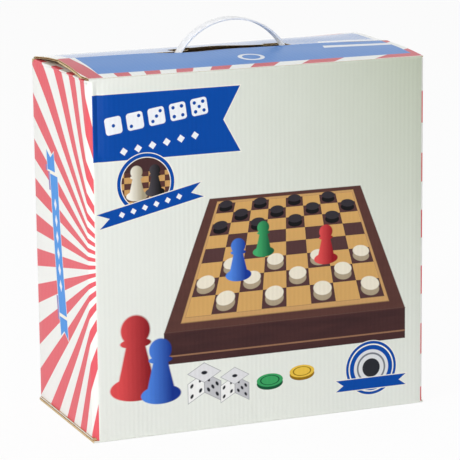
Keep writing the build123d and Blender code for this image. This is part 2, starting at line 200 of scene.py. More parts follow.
def finish_material(material, root, settings, height=None, depth=0.1 * mm, strength=1.0):
    """Gives the material its surface; height is the bump from 0 to 1, depth what 1 stands for."""
    if height is not None:
        bump = {"Strength": strength, "Distance": depth, "Height": height}
        settings["Normal"] = root.node("ShaderNodeBump", {}, bump)
    surface = root.node("ShaderNodeBsdfPrincipled", {}, settings)
    root.node("ShaderNodeOutputMaterial", {}, {"Surface": surface})
    return material


def printed_board(name, across, paint, gloss=0.34, index=1.2):
    """Varnished print on white liner: the flutes show through as soft ridges, as a bump and as a faint
    painted shade, and folds are rubbed bare.
    """
    material, root, place, xyz = new_material(name)
    x, y, z = xyz
    colour = paint(root, place, x, y, z)
    fold = (132.4 - abs(x)) & (63.9 - abs(y))
    rubbed = place.noise(420.0, 3.0).math("MULTIPLY_ADD", 1.0, -0.66) - fold * 0.16
    colour = colour.mix(ink(222, 208, 186), (rubbed * 14.0).math("MULTIPLY", 1.0, clamp=True) * 0.8)
    along = xyz[across]
    patches = place.noise(55.0, 2.0, stretch=(1, 1, 0.12))
    ridge_bump_and_shade = (along * (2 * pi / flute_pitch)).math("SINE") * (patches + 0.15)
    grain = place.noise(2600.0, 2.0)
    clouds = place.noise(14.0, 2.0)
    # The ridges also lighten and darken the colour a little: painted shade along the flutes.
    tone = 0.985 + ridge_bump_and_shade * 0.02 + (grain - 0.5) * 0.05 + (clouds - 0.5) * 0.05
    colour = colour.mix(tone.grey(), 1.0, "MULTIPLY")
    rough = gloss + (clouds - 0.5) * 0.12 + (grain - 0.5) * 0.1
    height = ridge_bump_and_shade * 0.5 + grain * 0.12
    settings = {"Base Color": colour, "Roughness": rough, "IOR": index}
    return finish_material(material, root, settings, height, depth=0.09 * mm, strength=0.8)


def circle(x, y, middle, radius):
    dx, dy = x - middle[0], y - middle[1]
    return (dx * dx + dy * dy).math("SQRT") - radius


def turned(x, y, middle, angle):
    """x and y measured from a middle along axes that are turned by an angle in degrees."""
    dx, dy = x - middle[0], y - middle[1]
    c, s = cos(radians(angle)), sin(radians(angle))
    return dx * c + dy * s, dy * c - dx * s


def ribbon(along, across, length, width, notch):
    """Distance to a straight ribbon with a swallowtail at both ends, about its middle."""
    side = abs(across) - width / 2
    end = abs(along) - (length / 2 - notch) - abs(across) * (2 * notch / width)
    return side & end


def rounded_square(x, y, half, rounding):
    """Distance to a square about 0, with rounded corners."""
    dx = (abs(x) - (half - rounding)).math("MAXIMUM", 0.0)
    dy = (abs(y) - (half - rounding)).math("MAXIMUM", 0.0)
    return (dx * dx + dy * dy).math("SQRT") - rounding


def diamond_row(along, across, pitch, count, reach):
    """Distance to a row of plain diamonds along a ribbon."""
    here = along % pitch - pitch / 2
    return (abs(here) + abs(across) - reach) & (abs(along) - pitch * count / 2)


def dice_row(colour, along, across, pitch, half, face_ink, pip_ink):
    """A row of five dice faces, with one pip to five."""
    number = (along / pitch + 2.5).math("FLOOR")
    here = along - (number - 2.0) * pitch
    face = rounded_square(here, across, half, half * 0.35) & (abs(along) - pitch * 2.5)
    colour = colour.mix(face_ink, face.inside())
    middle = circle(here, across, (0, 0), half * 0.2).inside() * (1.0 - number % 2.0)
    corners = circle(abs(here), abs(across), (half * 0.52, half * 0.52), half * 0.2)
    pair = (corners & -(here * across)).inside() * (number - 0.5).math("GREATER_THAN", 0.0)
    four = corners.inside() * (number - 2.5).math("GREATER_THAN", 0.0)
    pips = (middle + pair + four).math("MINIMUM", 1.0) * face.inside()
    return colour.mix(pip_ink, pips)


def pawn(colour, x, y, foot, height, dark_ink, light_ink):
    """Prints a plain pawn that stands on a place, lit from its left."""
    away = (x - foot[0]) / height
    across, up = abs(away), (y - foot[1]) / height
    head = circle(across, up, (0, 0.8), 0.19)
    stem = (across + up * 0.24 - 0.27) & (abs(up - 0.36) - 0.36)
    collar = circle(across, up * 3.2, (0, 0.64 * 3.2), 0.2)
    base = circle(across, up * 2.2, (0, 0.16), 0.34)
    man = (head | stem | collar | base).inside(0.012)
    shade = (0.45 - away * 2.4).math("MULTIPLY", 1.0, clamp=True)
    body = colour.mix(dark_ink, 1.0).mix(light_ink, shade)
    return colour.mix(body, man)


def die(colour, x, y, middle, size):
    """Prints a die seen from above one edge: three faces as slanted squares, with their pips."""
    faces = (
        ((0.87, -0.5), (0.0, 1.0), (198, 198, 202), 5),
        ((-0.87, -0.5), (0.0, 1.0), (246, 246, 244), 4),
        ((0.87, 0.5), (-0.87, 0.5), (228, 228, 230), 1),
    )
    for (px, py), (qx, qy), shade, pips in faces:
        # p and q run from -1 to 1 over the face
        scale = 2 / (size * (px * qy - py * qx))
        fx = middle[0] + size * ((px if qy == 1 else 0.0) / 2)
        fy = middle[1] + size * (0.5 if qy != 1 else (py + 1.0) / 2 - 0.5)
        dx, dy = x - fx, y - fy
        p = dx * (qy * scale) - dy * (qx * scale)
        q = dy * (px * scale) - dx * (py * scale)
        face = (abs(p) - 1.0) & (abs(q) - 1.0)
        colour = colour.mix(ink(132, 134, 140), (face - 0.02).inside(0.03))
        colour = colour.mix(ink(*shade), (face + 0.03).inside(0.03))
        spots = circle(abs(p), abs(q), (0.52, 0.52), 0.2) if pips > 1 else circle(p, q, (0, 0), 0.26)
        if pips == 5:
            spots = spots | circle(p, q, (0, 0), 0.2)
        colour = colour.mix(ink(30, 32, 40), (spots & face).inside(0.05))
    return colour


def counter(colour, x, y, middle, radius, dark_ink, light_ink):
    """Prints a flat counter that lies down: its rim below, its face above."""
    rim = circle(x, (y + radius * 0.22) * 2.1, (middle[0], middle[1] * 2.1), radius)
    colour = colour.mix(dark_ink, rim.inside())
    face = circle(x, y * 2.1, (middle[0], middle[1] * 2.1), radius)
    colour = colour.mix(light_ink, face.inside())
    return colour.mix(dark_ink, (abs(face + radius * 0.3) - radius * 0.05).inside())


def rays(turn_away, first, step):
    """1 on every other ray of a sunburst, from the angle in degrees about its middle."""
    phase = ((first - turn_away) / (2 * step)) % 1.0
    return ((abs(phase - 0.75) - 0.25) * (2 * step)).inside(0.12)


white_liner = ink(238, 241, 233)
cream = ink(250, 246, 232)
banner_blue = ink(0, 74, 166)
ray_red = ink(234, 98, 108)
ribbon_blue = ink(66, 150, 232)
ribbon_shade = ink(150, 130, 190)


def board_squares(x, z, lift):
    """A chequered board drawn in perspective: place on the board and in squares, for pieces lifted by a
    height that shrinks with distance.
    """
    horizon, near_z, far_z, near_half, middle_x = 330.0, 76.0, 172.9, 97.0, 20.0
    depth = 1 / (1 / (horizon - far_z) - 1 / (horizon - near_z))
    shrink = (horizon - z) / (horizon - near_z)
    below = horizon - (z - shrink * lift)
    u = (x - middle_x) / (below * (near_half / (horizon - near_z)))
    v = depth / below - depth / (horizon - near_z)
    return u, v, (u * (4 / 0.86)) + 4.0, (v - 0.07) * (8 / 0.86)


def paint_board(colour, place, x, z):
    """A plain chequered board laid for draughts, a few pawns on it, and dice and counters before it."""
    u, v, column, row = board_squares(x, z, 0.0)
    grain = place.noise(160.0, 3.0, stretch=(0.15, 1, 1))
    wood = grain.between(ink(82, 50, 48), ink(48, 30, 34))
    edge = (abs(x - 20.0) - 97.0) & (abs(z - 64.5) - 12.0)
    colour = colour.mix(wood, edge.inside())
    colour = colour.mix(ink(150, 110, 84), (edge & (abs(z - 58.5) - 0.6)).inside())
    top = ((abs(u) - 1.0) & (abs(v - 0.5) - 0.5)).inside(0.004)
    colour = colour.mix(wood.mix(ink(120, 78, 66), 0.35), top)
    inlay = ((abs(u) - 0.885) & (abs(v - 0.5) - 0.457)).inside(0.004)
    colour = colour.mix(ink(205, 160, 104), inlay)
    squares = ((abs(u) - 0.86) & (abs(v - 0.5) - 0.43)).inside(0.004)
    parity = (column.math("FLOOR") + row.math("FLOOR")) % 2.0
    chequer = parity.between(ink(214, 168, 102), ink(84, 56, 56))
    colour = colour.mix(chequer, squares)
    under, upper = (0.0, (176, 160, 134), (16, 15, 18)), (4.4, (240, 232, 212), (52, 48, 54))
    for lift, light_ink, dark_ink in (under, upper):
        u, v, column, row = board_squares(x, z, lift)
        parity = (column.math("FLOOR") + row.math("FLOOR")) % 2.0
        disc = circle(column % 1.0, row % 1.0, (0.5, 0.5), 0.38)
        laid = (abs(u) - 0.86) & (1.0 - abs(row - 4.0)) & (abs(row - 4.0) - 4.0)
        share = (disc & laid & (0.5 - parity)).inside(0.02)
        paint = place.mix(ink(*light_ink), 1.0).mix(ink(*dark_ink), (row - 4.0).math("GREATER_THAN", 0.0))
        colour = colour.mix(paint, share)
    for foot, height, dark_ink, light_ink in (
        ((2.0, 128.0), 25.0, (20, 96, 60), (70, 176, 110)),
        ((52.0, 118.0), 28.0, (150, 24, 34), (232, 84, 84)),
        ((-18.0, 112.0), 30.0, (20, 56, 150), (84, 140, 232)),
        ((-99.0, 33.0), 60.0, (132, 20, 30), (228, 80, 82)),
        ((-80.0, 27.5), 46.0, (18, 50, 140), (80, 136, 230)),
    ):
        colour = pawn(colour, x, z, foot, height, ink(*dark_ink), ink(*light_ink))
    colour = die(colour, x, z, (-46.0, 36.0), 15.0)
    colour = die(colour, x, z, (-22.0, 32.0), 13.0)
    colour = counter(colour, x, z, (6.0, 32.0), 10.5, ink(14, 84, 52), ink(60, 164, 98))
    return counter(colour, x, z, (32.0, 36.0), 10.0, ink(150, 112, 20), ink(236, 196, 74))


def paint_long_side(root, place, x, y, z):
    """Front and rear carry the same print: each reads x from its own left."""
    x = x * -y.math("SIGN")
    # Painted shade: the paper darkens and greys toward the upper right of each long side, where the light
    # falls off.
    falloff_shade = ((x + 132.5) / 265.0).math("POWER", 1.3) * (z * (0.95 / 266) + 0.05)
    colour = falloff_shade.between(ink(238, 241, 234), ink(196, 204, 184))

    def lay(colour, shape, paint, outline=0.6):
        if outline:
            colour = colour.mix(cream, (shape - outline).inside())
        return colour.mix(paint, shape.inside())

    colour = paint_board(colour, place, x, z)
    banner_z = z - 230.3
    banner = (abs(banner_z) - 24.0) & (x + 28.8 - abs(banner_z) * (13.3 / 24.0))
    colour = lay(colour, banner, banner_blue)
    along, across = turned(x, z, (-80.0, 236.5), 8.0)
    colour = dice_row(colour, along, across, 16.5, 6.3, ink(244, 246, 250), banner_blue)
    along, across = turned(x, z, (-78.0, 216.5), 8.0)
    colour = colour.mix(ink(244, 246, 250), diamond_row(along, across, 11.0, 6, 3.0).inside())
    medallion = circle(x, z, (-89.0, 188.5), 21.8)
    colour = lay(colour, medallion, banner_blue)
    colour = lay(colour, medallion + 2.6, cream, 0)
    cells = ((x / 6.2).math("FLOOR") + (z / 4.4).math("FLOOR")) % 2.0
    scene = cells.between(ink(206, 160, 100), ink(88, 54, 50))
    scene = scene.mix(ink(70, 44, 46), (z - 197.0).math("GREATER_THAN", 0.0))
    scene = pawn(scene, x, z, (-96.0, 178.0), 24.0, ink(170, 158, 130), ink(250, 246, 232))
    scene = pawn(scene, x, z, (-82.0, 180.0), 22.0, ink(12, 12, 14), ink(78, 74, 80))
    colour = colour.mix(scene, (medallion + 3.2).inside())
    along, across = turned(x, z, (-85.6, 171.8), 12.4)
    colour = lay(colour, ribbon(along, across, 82.0, 11.0, 9.0), banner_blue)
    colour = colour.mix(ink(244, 246, 250), diamond_row(along, across, 9.0, 6, 2.4).inside())
    emblem = circle(x, z, (88.8, 32.3), 20.7)
    colour = lay(colour, emblem, banner_blue)
    colour = colour.mix(cream, (abs(emblem + 2.6) - 0.5).inside())
    colour = colour.mix(ink(226, 228, 230), (emblem + 6.5).inside())
    colour = colour.mix(ink(120, 126, 134), (abs(emblem + 9.6) - 0.7).inside())
    colour = colour.mix(ink(40, 42, 48), (emblem + 13.5).inside())
    pennant = ribbon(x - 88.8, z - 20.5, 58.0, 8.6, 6.0)
    colour = lay(colour, pennant, banner_blue)
    rear_edge = (abs(x + 104.0) - 18.0) & (264.8 - z) & -y
    return colour.mix(ray_red, rear_edge.inside())


def paint_narrow_side(root, place, x, y, z):
    """The narrow sides carry a sunburst that reaches round the crease, and a plain folded ribbon."""
    right = x.math("GREATER_THAN", 0.0)
    toward = y * x.math("SIGN")
    wrapped = toward + (132.5 - abs(x)) * 0.26 * (1.0 - right)
    reach, height, first = [right * (r - l) + l for l, r in zip(left_sun, right_sun)]
    angle = (z - height).math("ARCTAN2", reach - wrapped) * (180 / pi)
    colour = place.mix(ink(247, 248, 243), 1.0)
    colour = colour.mix(ray_red, rays(angle, first, ray_step) * (126.0 - abs(x)).inside())
    up = z - 132.0
    shift = (up - 52.75).math("GREATER_THAN", 0.0) * 5.0
    across = toward + 11.35 + up * 0.139 + shift
    side = abs(across) - 8.4
    tape = side & (abs(up) - 68.8 - side * 0.6)
    gap = 1.3 - abs(abs(up) - 52.75)
    colour = colour.mix(ribbon_shade, (side - 4.0 & (abs(abs(up) - 48.0) - 9.0) & (across - 4.0)).inside())
    colour = colour.mix(cream, (tape - 0.7).inside())
    colour = colour.mix(ribbon_blue, (tape & gap).inside())
    return colour.mix(ink(244, 247, 250), diamond_row(up, across * 1.6, 12.0, 6, 4.6).inside())


def kraft(name, tint):
    """Brown unbleached paper: long soft fibres and small dark specks."""
    material, root, place, (x, y, z) = new_material(name)
    fibres = place.noise(900.0, 4.0, stretch=(1, 1, 0.2))
    specks = place.noise(2400.0, 1.0)
    dark = tuple(c * 0.72 for c in tint[:3]) + (1.0,)
    colour = place.mix(tint, 1.0).mix(dark, fibres * 0.6)
    colour = colour.mix(tuple(c * 0.4 for c in tint[:3]) + (1.0,), (specks - 0.36).inside(0.02) * 0.7)
    settings = {"Base Color": colour, "Roughness": 0.85, "IOR": 1.4}
    return finish_material(material, root, settings, fibres, depth=0.06 * mm, strength=0.5)


long_side_print = printed_board("long_side_print", 0, paint_long_side)
narrow_side_print = printed_board("narrow_side_print", 1, paint_narrow_side)
inside_kraft = kraft("inside_kraft", ink(196, 158, 112))
cut_edge = kraft("cut_edge", ink(222, 198, 154))
# The waved paper is darker than the liners: partly its own brown, partly painted shade for the hollows
# between the liners.
wave_kraft_and_shade = kraft("wave_kraft_and_shade", ink(150, 108, 66))


def edit(piece):
    """Opens one piece in edit mode, with nothing else selected."""
    if bpy.context.object and bpy.context.object.mode != "OBJECT":
        bpy.ops.object.mode_set(mode="OBJECT")
    bpy.ops.object.select_all(action="DESELECT")
    bpy.context.view_layer.objects.active = piece
    piece.select_set(True)
    bpy.ops.object.mode_set(mode="EDIT")


def pick(kind, test):
    """Selects the verts, edges or faces of the piece in edit mode that pass a test."""
    bpy.context.tool_settings.mesh_select_mode = (kind == "verts", kind == "edges", kind == "faces")
    mesh = bmesh.from_edit_mesh(bpy.context.edit_object.data)
    for group in (mesh.faces, mesh.edges, mesh.verts):
        for item in group:
            item.select = False
    for item in getattr(mesh, kind):
        if test(item):
            item.select_set(True)
    mesh.select_flush_mode()
    bmesh.update_edit_mesh(bpy.context.edit_object.data)


def middle_of(item):
    """The middle of an edge or a face, or a vertex's own place."""
    if isinstance(item, bmesh.types.BMVert):
        return item.co
    if isinstance(item, bmesh.types.BMEdge):
        return (item.verts[0].co + item.verts[1].co) / 2
    return item.calc_center_median()


def slice_across(axis, places):
    """Cuts the piece in edit mode by planes across an axis."""
    normal = [float(axis == n) for n in range(3)]
    for place in places:
        bpy.ops.mesh.select_all(action="SELECT")
        bpy.ops.mesh.bisect(plane_co=[place * n for n in normal], plane_no=normal)


def between(low, high, step):
    """Even places between two ends, no further apart than a step, the ends left out."""
    count = ceil((high - low) / step)
    return [low + (high - low) * n / count for n in range(1, count)]


def settle(piece):
    """Puts a piece's place, turn and scale into its mesh."""
    if bpy.context.object.mode != "OBJECT":
        bpy.ops.object.mode_set(mode="OBJECT")
    bpy.ops.object.select_all(action="DESELECT")
    bpy.context.view_layer.objects.active = piece
    piece.select_set(True)
    bpy.ops.object.transform_apply(location=True, rotation=True, scale=True)
    return piece


def box_piece(name, low, high):
    """A box between two corners, to be shaped."""
    bpy.ops.object.select_all(action="DESELECT")
    middle = [(a + b) / 2 for a, b in zip(low, high)]
    bpy.ops.mesh.primitive_cube_add(size=1, location=middle, scale=[b - a for a, b in zip(low, high)])
    piece = bpy.context.object
    piece.name = name
    return settle(piece)


def modify(piece, kind, **settings):
    """Adds a modifier with its settings and applies it."""
    settle(piece)
    modifier = piece.modifiers.new(kind.title(), kind)
    for key, value in settings.items():
        setattr(modifier, key, value)
    bpy.ops.object.modifier_apply(modifier=modifier.name)
    return piece


def smooth(piece, angle=35):
    settle(piece)
    bpy.ops.object.shade_smooth_by_angle(angle=radians(angle))
    return piece


def give(piece, *materials):
    piece.data.materials.clear()
    for material in materials:
        piece.data.materials.append(material)
    return piece


def paint_faces(piece, choose):
    """Gives each face the number of its material, from its middle, its normal and its old number."""
    for face in piece.data.polygons:
        face.material_index = choose(face.center, face.normal, face.material_index)


front_low, front_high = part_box("front_panel")
side_low, side_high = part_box("left_panel")
half_x, half_y = -front_low.x, -front_low.y
top_z = front_high.z + board  # height of the long creases
dust_z = side_high.z + board
wall_low, wall_high = front_low.z, top_z - long_crease
side_wall_low, side_wall_high = side_low.z, dust_z - dust_crease


def upright_edge(edge):
    return abs(edge.verts[0].co.z - edge.verts[1].co.z) > board


def blunt_corner(item):
    place = middle_of(item)
    return place.x < blunt_front + mm / 2 - half_x and place.y < blunt_side + mm / 2 - half_y


def sway(piece, low, high, counts, move):
    """Bends a piece by a lattice; move gives each lattice point's shift in mm from its three numbers."""
    bpy.ops.object.select_all(action="DESELECT")
    middle = [(a + b) / 2 for a, b in zip(low, high)]
    bpy.ops.object.add(type="LATTICE", location=middle)
    cage = bpy.context.object
    cage.scale = [b - a for a, b in zip(low, high)]
    cage.data.points_u, cage.data.points_v, cage.data.points_w = counts
    for kind in ("u", "v", "w"):
        setattr(cage.data, "interpolation_type_" + kind, "KEY_CATMULL_ROM")
    across, deep, _ = counts
    for n, point in enumerate(cage.data.points):
        shift = move(n % across, n // across % deep, n // (across * deep))
        point.co_deform = [at + d * mm / size for at, d, size in zip(point.co_deform, shift, cage.scale)]
    modify(piece, "LATTICE", object=cage)
    bpy.data.objects.remove(cage)


left_lean = (0, 1.5, 2.5, 2.8, 2.8, 2.6, 2.0, 1.0, 0)  # mm inward along the left wall's top, front to rear
lean_rise = (0, 0.3, 0.7, 1.0)
rear_lift = (0, 0, 0, 0, 0.3, 0.6, 1.1, 1.4, 2.4)  # mm up along the rear crease, left to right
lift_reach = (0, 0.35, 0.9, 1.15, 0.95)


def lean_in(piece):
    """The left wall's top gives way under the long flaps."""
    low, high = (-half_x, -half_y, 205 * mm), (-62.5 * mm, half_y, side_wall_high)
    sway(piece, low, high, (2, 9, 4), lambda u, v, w: (left_lean[v] * lean_rise[w] * (1 - u), 0, 0))


def spring_up(piece):
    """The rear right corner springs up, where the rear flap doesn't lie flat."""
    low, high = (-half_x, 4 * mm, 230 * mm), (half_x, half_y, top_z)
    sway(piece, low, high, (9, 5, 2), lambda u, v, w: (0, 0, rear_lift[u] * lift_reach[v] * w))


def push(place, value, reach):
    """Moves the sheet in edit mode about one place, fading out over a reach."""
    spot = Vector(place) * mm
    pick("verts", lambda v: (v.co - spot).length < wall_step)
    bpy.ops.transform.translate(
        value=Vector(value) * mm,
        use_proportional_edit=True,
        proportional_edit_falloff="SMOOTH",
        proportional_size=reach * mm,
        use_proportional_connected=True,
    )


tube = box_piece("carton_walls", (-half_x, -half_y, wall_low), (half_x, half_y, wall_high))
edit(tube)
pick("faces", lambda f: abs(f.normal.z) > 0.9)
bpy.ops.mesh.delete(type="FACE")
pick("edges", lambda e: upright_edge(e) and (middle_of(e).x > 0 or middle_of(e).y > 0))
bpy.ops.mesh.bevel(offset=round_corner, segments=4, affect="EDGES")
slice_across(0, [blunt_front - half_x])
slice_across(1, [blunt_side - half_y])
pick("verts", lambda v: v.co.x < mm - half_x and v.co.y < mm - half_y)
bpy.ops.mesh.delete(type="VERT")
pick("edges", lambda e: e.is_boundary and upright_edge(e))
bpy.ops.mesh.bridge_edge_loops()
pick("verts", lambda v: v.co.z < mm and v.co.y < mm / 2 - half_y and v.co.x < 0)
bpy.ops.transform.translate(value=(-blunt_fade, 0, 0))
pick("edges", lambda e: upright_edge(e) and blunt_corner(e))
bpy.ops.mesh.bevel(offset=0.7 * mm, segments=3, affect="EDGES")
slice_across(2, [side_wall_low, side_wall_high, *between(side_wall_low, side_wall_high, wall_step)])
pick("faces", lambda f: abs(f.normal.x) > 0.99 and not side_wall_low < middle_of(f).z < side_wall_high)
bpy.ops.mesh.delete(type="FACE")
slice_across(0, [valley_x, valley_end, *between(valley_end, half_x - round_corner, wall_step)])
slice_across(1, between(2 * blunt_side - half_y, half_y - round_corner, wall_step))
for level in valley_levels:
    pick("verts", lambda v: v.co.y < mm - half_y and abs(v.co.x - valley_x) < mm / 2
         and level * mm < v.co.z < wall_high - mm)
    bpy.ops.transform.translate(value=(0, valley_step, 0))
push((0, -half_y / mm, 140), (0, 0.6, 0), 105)
push((60, -half_y / mm, 225), (0, 0.5, 0), 34)
push((18, -half_y / mm, 229), (0, 0.5, 0), 13)
push((-70, -half_y / mm, 60), (0, 0.4, 0), 50)
push((0, half_y / mm, 120), (0, -0.7, 0), 110)
push((-half_x / mm, 5, 190), (0.5, 0, 0), 50)
push((-half_x / mm, -10, 70), (0.5, 0, 0), 48)
push((half_x / mm, 0, 130), (-0.6, 0, 0), 55)
lean_in(settle(tube))
spring_up(tube)
give(tube, long_side_print, inside_kraft, cut_edge, narrow_side_print)
modify(tube, "SOLIDIFY", thickness=board, offset=-1, material_offset=1, material_offset_rim=2)
paint_faces(tube, lambda middle, normal, old: 3 if old == 0 and abs(normal.x) > abs(normal.y) * (
    0.05 if middle.x > 0 and middle.y < 0 else 1.0) else old)
smooth(tube, 30)
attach(tube, "carton")
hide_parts("front_panel", "rear_panel", "left_panel", "right_panel")

# ================================================================ carton base
# The four bottom flaps of the same sheet: the dust flaps lie inside, and the long flaps are
# glued over them and meet in the middle. Their creases are rolled round where they leave the walls.
bottom_crease = 1.2 * mm


def bottom_flap(name, outward):
    """One flap of the base; outward is the side of the carton that it folds from."""
    low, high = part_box(name)
    flap = box_piece(name + "_board", low, high)
    edit(flap)
    reach = max(abs(low.dot(outward)), abs(high.dot(outward)))
    pick("edges", lambda e: middle_of(e).dot(outward) > reach - mm and middle_of(e).z < low.z + mm / 2
         and abs(e.verts[0].co.z - e.verts[1].co.z) < mm / 2)
    bpy.ops.mesh.bevel(offset=bottom_crease, segments=4, affect="EDGES")
    give(flap, outside_white, inside_kraft, cut_edge)
    settle(flap)

    def is_cut(normal):
        return normal.dot(outward) < -0.5 or abs(normal.dot(outward)) < 0.1 and abs(normal.z) < 0.1

    paint_faces(flap, lambda middle, normal, old: 1 if normal.z > 0.5 else 2 * is_cut(normal))
    smooth(flap, 30)
    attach(flap, "carton")
    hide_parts(name)


def paint_plain_outside(root, place, x, y, z):
    return place.mix(white_liner, 1.0)


outside_white = printed_board("outside_white", 0, paint_plain_outside)
bottom_flap("bottom_front_flap", Vector((0, -1, 0)))
bottom_flap("bottom_rear_flap", Vector((0, 1, 0)))
bottom_flap("bottom_left_dust_flap", Vector((-1, 0, 0)))
bottom_flap("bottom_right_dust_flap", Vector((1, 0, 0)))
for slot in bpy.data.objects["glue_flap"].material_slots:
    slot.material = inside_kraft

# ================================================================ top flaps
# Open E-flute board: a printed outer liner, waved paper glued crest by crest, and a kraft inner
# liner. The waves run away from the crease, whose flutes are crushed, and end open along the seam.
medium = 0.2 * mm
wave_sides = 8
crush = 3.0 * mm
flap_step = 9 * mm
dust_taper = radians(21)
flap_ends = (-129.5 * mm, 131.9 * mm)  # the slots beside the long flaps are not quite even
overhang, lip = 2.8 * mm, 0.9 * mm  # the front flap's left end, and its inner liner's bent edge
notch_outer, notch_inner, notch_depth = 46.9 * mm, 29.6 * mm, 17.5 * mm  # about the strap's middle
strap_x = 6.2 * mm
recess, crushed_back = 12.5 * mm, 18.0 * mm  # the rear edge between the notches, and the board under it


def paint_top(root, place, x, y, z):
    """The top of the long flaps: a blue field, a slanted border, and the sunburst at both ends."""
    aside = abs(y)
    angle = (x + 108.0).math("ARCTAN2", 190.5 - aside) * (180 / pi)
    colour = place.mix(ink(246, 248, 244), 1.0)
    colour = colour.mix(top_red, rays(angle + y.math("GREATER_THAN", 0.0) * 1.2, 0.09, 4.76))
    rear_bare = (18.0 - abs(x - 102.0)) & (1.0 - y)
    colour = colour.mix(ink(246, 248, 244), rear_bare.inside())
    field = (abs(x - 3.9) - 123.1) & (aside - 51.8)
    colour = colour.mix(field_blue, field.inside())
    bars = (abs(y + 14.5) - 3.8) | (abs(y - 8.5) - 3.5)
    bar = bars & (76.0 - x + y * 0.25) & (x - 127.0)
    colour = colour.mix(ink(240, 244, 248), bar.inside())
    rosette = circle(x - 6.2, (aside - 33.0), (0, 0), 10.0) & y
    colour = colour.mix(ink(236, 240, 246), (rosette & (-3.2 - rosette)).inside())
    margin = 61.3 - aside
    return colour.mix(ink(246, 248, 244), margin.inside())


field_blue = ink(74, 134, 206)
top_red = ink(206, 84, 94)
front_top_print = printed_board("front_top_print", 0, paint_top, gloss=0.36, index=1.38)
rear_top_print = printed_board("rear_top_print", 0, paint_top, gloss=0.12, index=1.55)


def cut_away(low_x, high_x, low_y):
    """Takes an open notch out of the sheet in edit mode, from its free edge down to low_y."""
    slice_across(0, [low_x, high_x])
    slice_across(1, [low_y])
    pick("faces", lambda f: low_x < middle_of(f).x < high_x and middle_of(f).y > low_y)
    bpy.ops.mesh.delete(type="FACE")


def strap_cut(length, layer):
    """The rear flap's edge, in its own frame, where X runs the other way: two notches and a recess."""
    cut_away(-strap_x - notch_outer, -strap_x - notch_inner, length - notch_depth)
    cut_away(-strap_x + notch_inner, -strap_x + notch_outer, length - notch_depth)
    cut_away(-strap_x - notch_inner, -strap_x + notch_inner, length - recess - (crushed_back if layer else 0))


def reach_over(length, layer):
    """Draws the front flap's left end out over the dust crease, and bends its inner liner's edge down."""
    pick("verts", lambda v: v.co.x < left_end + mm / 10 and v.co.y > 2 * crush)
    bpy.ops.transform.translate(value=(-overhang, 0, 0))
    if layer == 2:
        slice_across(0, [left_end - overhang + lip / 2])
        pick("verts", lambda v: v.co.x < left_end - overhang + mm / 10)
        bpy.ops.transform.translate(value=(0, 0, -lip))


def flat_sheet(name, low, high, height):
    """A sheet of paper in a flap's own frame: its crease lies along X, and it reaches along Y."""
    bpy.ops.object.select_all(action="DESELECT")
    middle = ((low[0] + high[0]) / 2, (low[1] + high[1]) / 2, height)
    bpy.ops.mesh.primitive_plane_add(size=1, location=middle)
    sheet = bpy.context.object
    sheet.scale = (high[0] - low[0], high[1] - low[1], 1)
    sheet.name = name
    return settle(sheet)


def waved_sheet(name, low, high, waves):
    """The medium: one wave shaped across its pitch, then repeated over the flap's width."""
    pitch = (high[0] - low[0]) / waves
    reach = (board - 2 * liner - medium) / 2
    sheet = flat_sheet(name, low, (low[0] + pitch, high[1]), -board / 2)
    edit(sheet)
    slice_across(0, [low[0] + pitch * n / wave_sides for n in range(1, wave_sides)])
    for n in range(wave_sides + 1):
        x = low[0] + pitch * n / wave_sides
        pick("verts", lambda v: abs(v.co.x - x) < pitch / 40)
        bpy.ops.transform.translate(value=(0, 0, reach * cos(2 * pi * n / wave_sides)))
    return modify(
        sheet, "ARRAY", count=waves, use_merge_vertices=True, relative_offset_displace=(1, 0, 0),
        merge_threshold=0.01 * mm,
    )


def board_flap(name, low_x, high_x, length, root, finish, body, place, shape=None, rows=None):
    """A flap of open board, in its own frame until its place is put into its mesh."""
    waves = round((high_x - low_x) / mm / flute_pitch)
    layers = [
        flat_sheet(name + "_board", (low_x, root), (high_x, length), -liner / 2),
        waved_sheet("waves", (low_x, crush), (high_x, length), waves),
        flat_sheet("inner_liner", (low_x, root), (high_x, length), liner / 2 - board),
    ]
    papers = ((liner, finish), (medium, wave_kraft_and_shade), (liner, inside_kraft))
    for number, (layer, (thickness, material)) in enumerate(zip(layers, papers)):
        edit(layer)
        if thickness == liner:
            slice_across(0, between(low_x, high_x, flap_step))
        slice_across(1, [crush, *between(crush, length, flap_step)])
        if shape:
            shape(length, number)
        give(layer, material, inside_kraft, cut_edge)
        modify(layer, "SOLIDIFY", thickness=thickness, offset=0, material_offset=1, material_offset_rim=2)
    inner = layers[2]
    paint_faces(inner, lambda middle, normal, old: 2 if abs(normal.x) > 0.5 else old)
    edit(inner)
    pick("verts", lambda v: v.co.y < root + mm / 10)
    bpy.ops.transform.translate(value=(0, 0, board - 2 * liner - 0.1 * mm))
    settle(inner)
    bpy.ops.object.select_all(action="DESELECT")
    for layer in layers:
        layer.select_set(True)
    flap = layers[0]
    bpy.context.view_layer.objects.active = flap
    bpy.ops.object.join()
    if rows:
        sway(flap, (low_x, 0, -board), (high_x, length, 0), (len(rows[0]), len(rows), 2),
             lambda u, v, w: (0, 0, rows[v][u]))
    if name == "top_rear_flap":
        edit(flap)
        push((-strap_x / mm + 20, (length - recess) / mm, 0), (0, 0, 0.9), 32)
    flap.matrix_world = place
    smooth(settle(flap), 40)
    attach(flap, body)
    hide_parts(name)
    return flap


